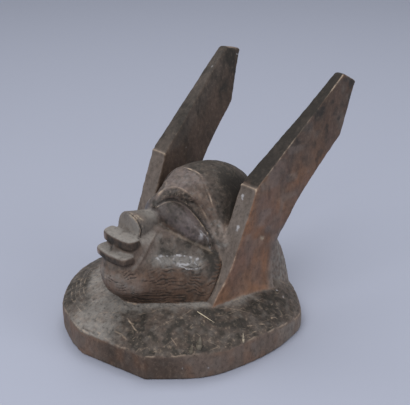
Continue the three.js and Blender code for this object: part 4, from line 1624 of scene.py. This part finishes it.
@dataclass
class Studio:
    """A plain pale floor, soft light from both sides, and the camera."""

    floor_size: float = 9
    floor_colour: Row = paint(160, 164, 179)
    camera_place: Place = (0.5119, -0.4711, 0.4267)
    camera_target: Place = (-0.013, 0.027, 0.100)
    lens: float = 70.24
    sensor: float = 36
    sky: Row = (0.92, 0.95, 1.0, 1)
    sky_strength: float = 0.53
    light_target: Place = (0, 0, 0.1)
    # Name, place, size in metres and strength in watts
    lights: tuple[tuple[str, Place, float, float], ...] = (
        ("left_softbox", (-1.1, -1.7, 1.5), 1.2, 3),
        ("right_softbox", (1.9, 0.9, 1.3), 1.2, 11),
        ("front_softbox", (0.3, -0.9, 1.1), 0.8, 9),
        ("top_softbox", (-0.5, 0.5, 2.0), 1.2, 15),
    )

    def floor(self) -> bpy.types.Object:
        """The floor, flush with the underside of the plate."""
        bm = bmesh.new()
        bmesh.ops.create_grid(bm, x_segments=1, y_segments=1, size=self.floor_size / 2)
        ground = new_object("floor", bm)
        recipe = Recipe("floor_paper")
        shader = recipe.node(
            "ShaderNodeBsdfPrincipled", inputs={"Base Color": self.floor_colour, "Roughness": 0.9}
        )
        recipe.node("ShaderNodeOutputMaterial", inputs={"Surface": shader})
        ground.data.materials.append(recipe.material)
        return ground

    @staticmethod
    def put(name: str, data: bpy.types.ID, place: Place, target: Place) -> bpy.types.Object:
        """Puts a lamp or a camera in the scene, turned towards a target."""
        holder = bpy.data.objects.new(name, data)
        holder.location = place
        holder.rotation_euler = (Vector(target) - Vector(place)).to_track_quat("-Z", "Y").to_euler()
        bpy.context.scene.collection.objects.link(holder)
        return holder

    def light(self, name: str, place: Place, size: float, watts: float) -> None:
        """A square soft light that faces the middle of the carving."""
        lamp = bpy.data.lights.new(name, "AREA")
        lamp.shape = "SQUARE"
        lamp.size = size
        lamp.energy = watts
        self.put(name, lamp, place, self.light_target)

    def build(self) -> None:
        """Sets up floor, world, lights and camera."""
        self.floor()
        scene = bpy.context.scene
        scene.view_settings.view_transform = "Standard"
        scene.world = bpy.data.worlds.new("room")
        scene.world.use_nodes = True
        sky = scene.world.node_tree.nodes["Background"].inputs
        sky["Color"].default_value = self.sky
        sky["Strength"].default_value = self.sky_strength
        for row in self.lights:
            self.light(*row)
        camera = bpy.data.cameras.new("camera")
        camera.lens = self.lens
        camera.sensor_width = self.sensor
        scene.camera = self.put("camera", camera, self.camera_place, self.camera_target)


def main() -> None:
    """Builds the carving round the frame, then the studio."""
    logging.basicConfig(level=logging.INFO, format="%(name)s: %(message)s")
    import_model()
    carving = Headdress(
        BasePlate(), HareEar(), CarvedHead(), BlockNose(),
        (SlabLip(-96, 105, 9, 20), SlabLip(-104, 92, 7.5, 20.5)),
    ).build()
    carving.data.materials.append(OldWood().material())
    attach(carving, "root")
    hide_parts("headdress")
    log.info("%s: %d faces", carving.name, len(carving.data.polygons))
    Studio().build()


if __name__ == "__main__":
    main()
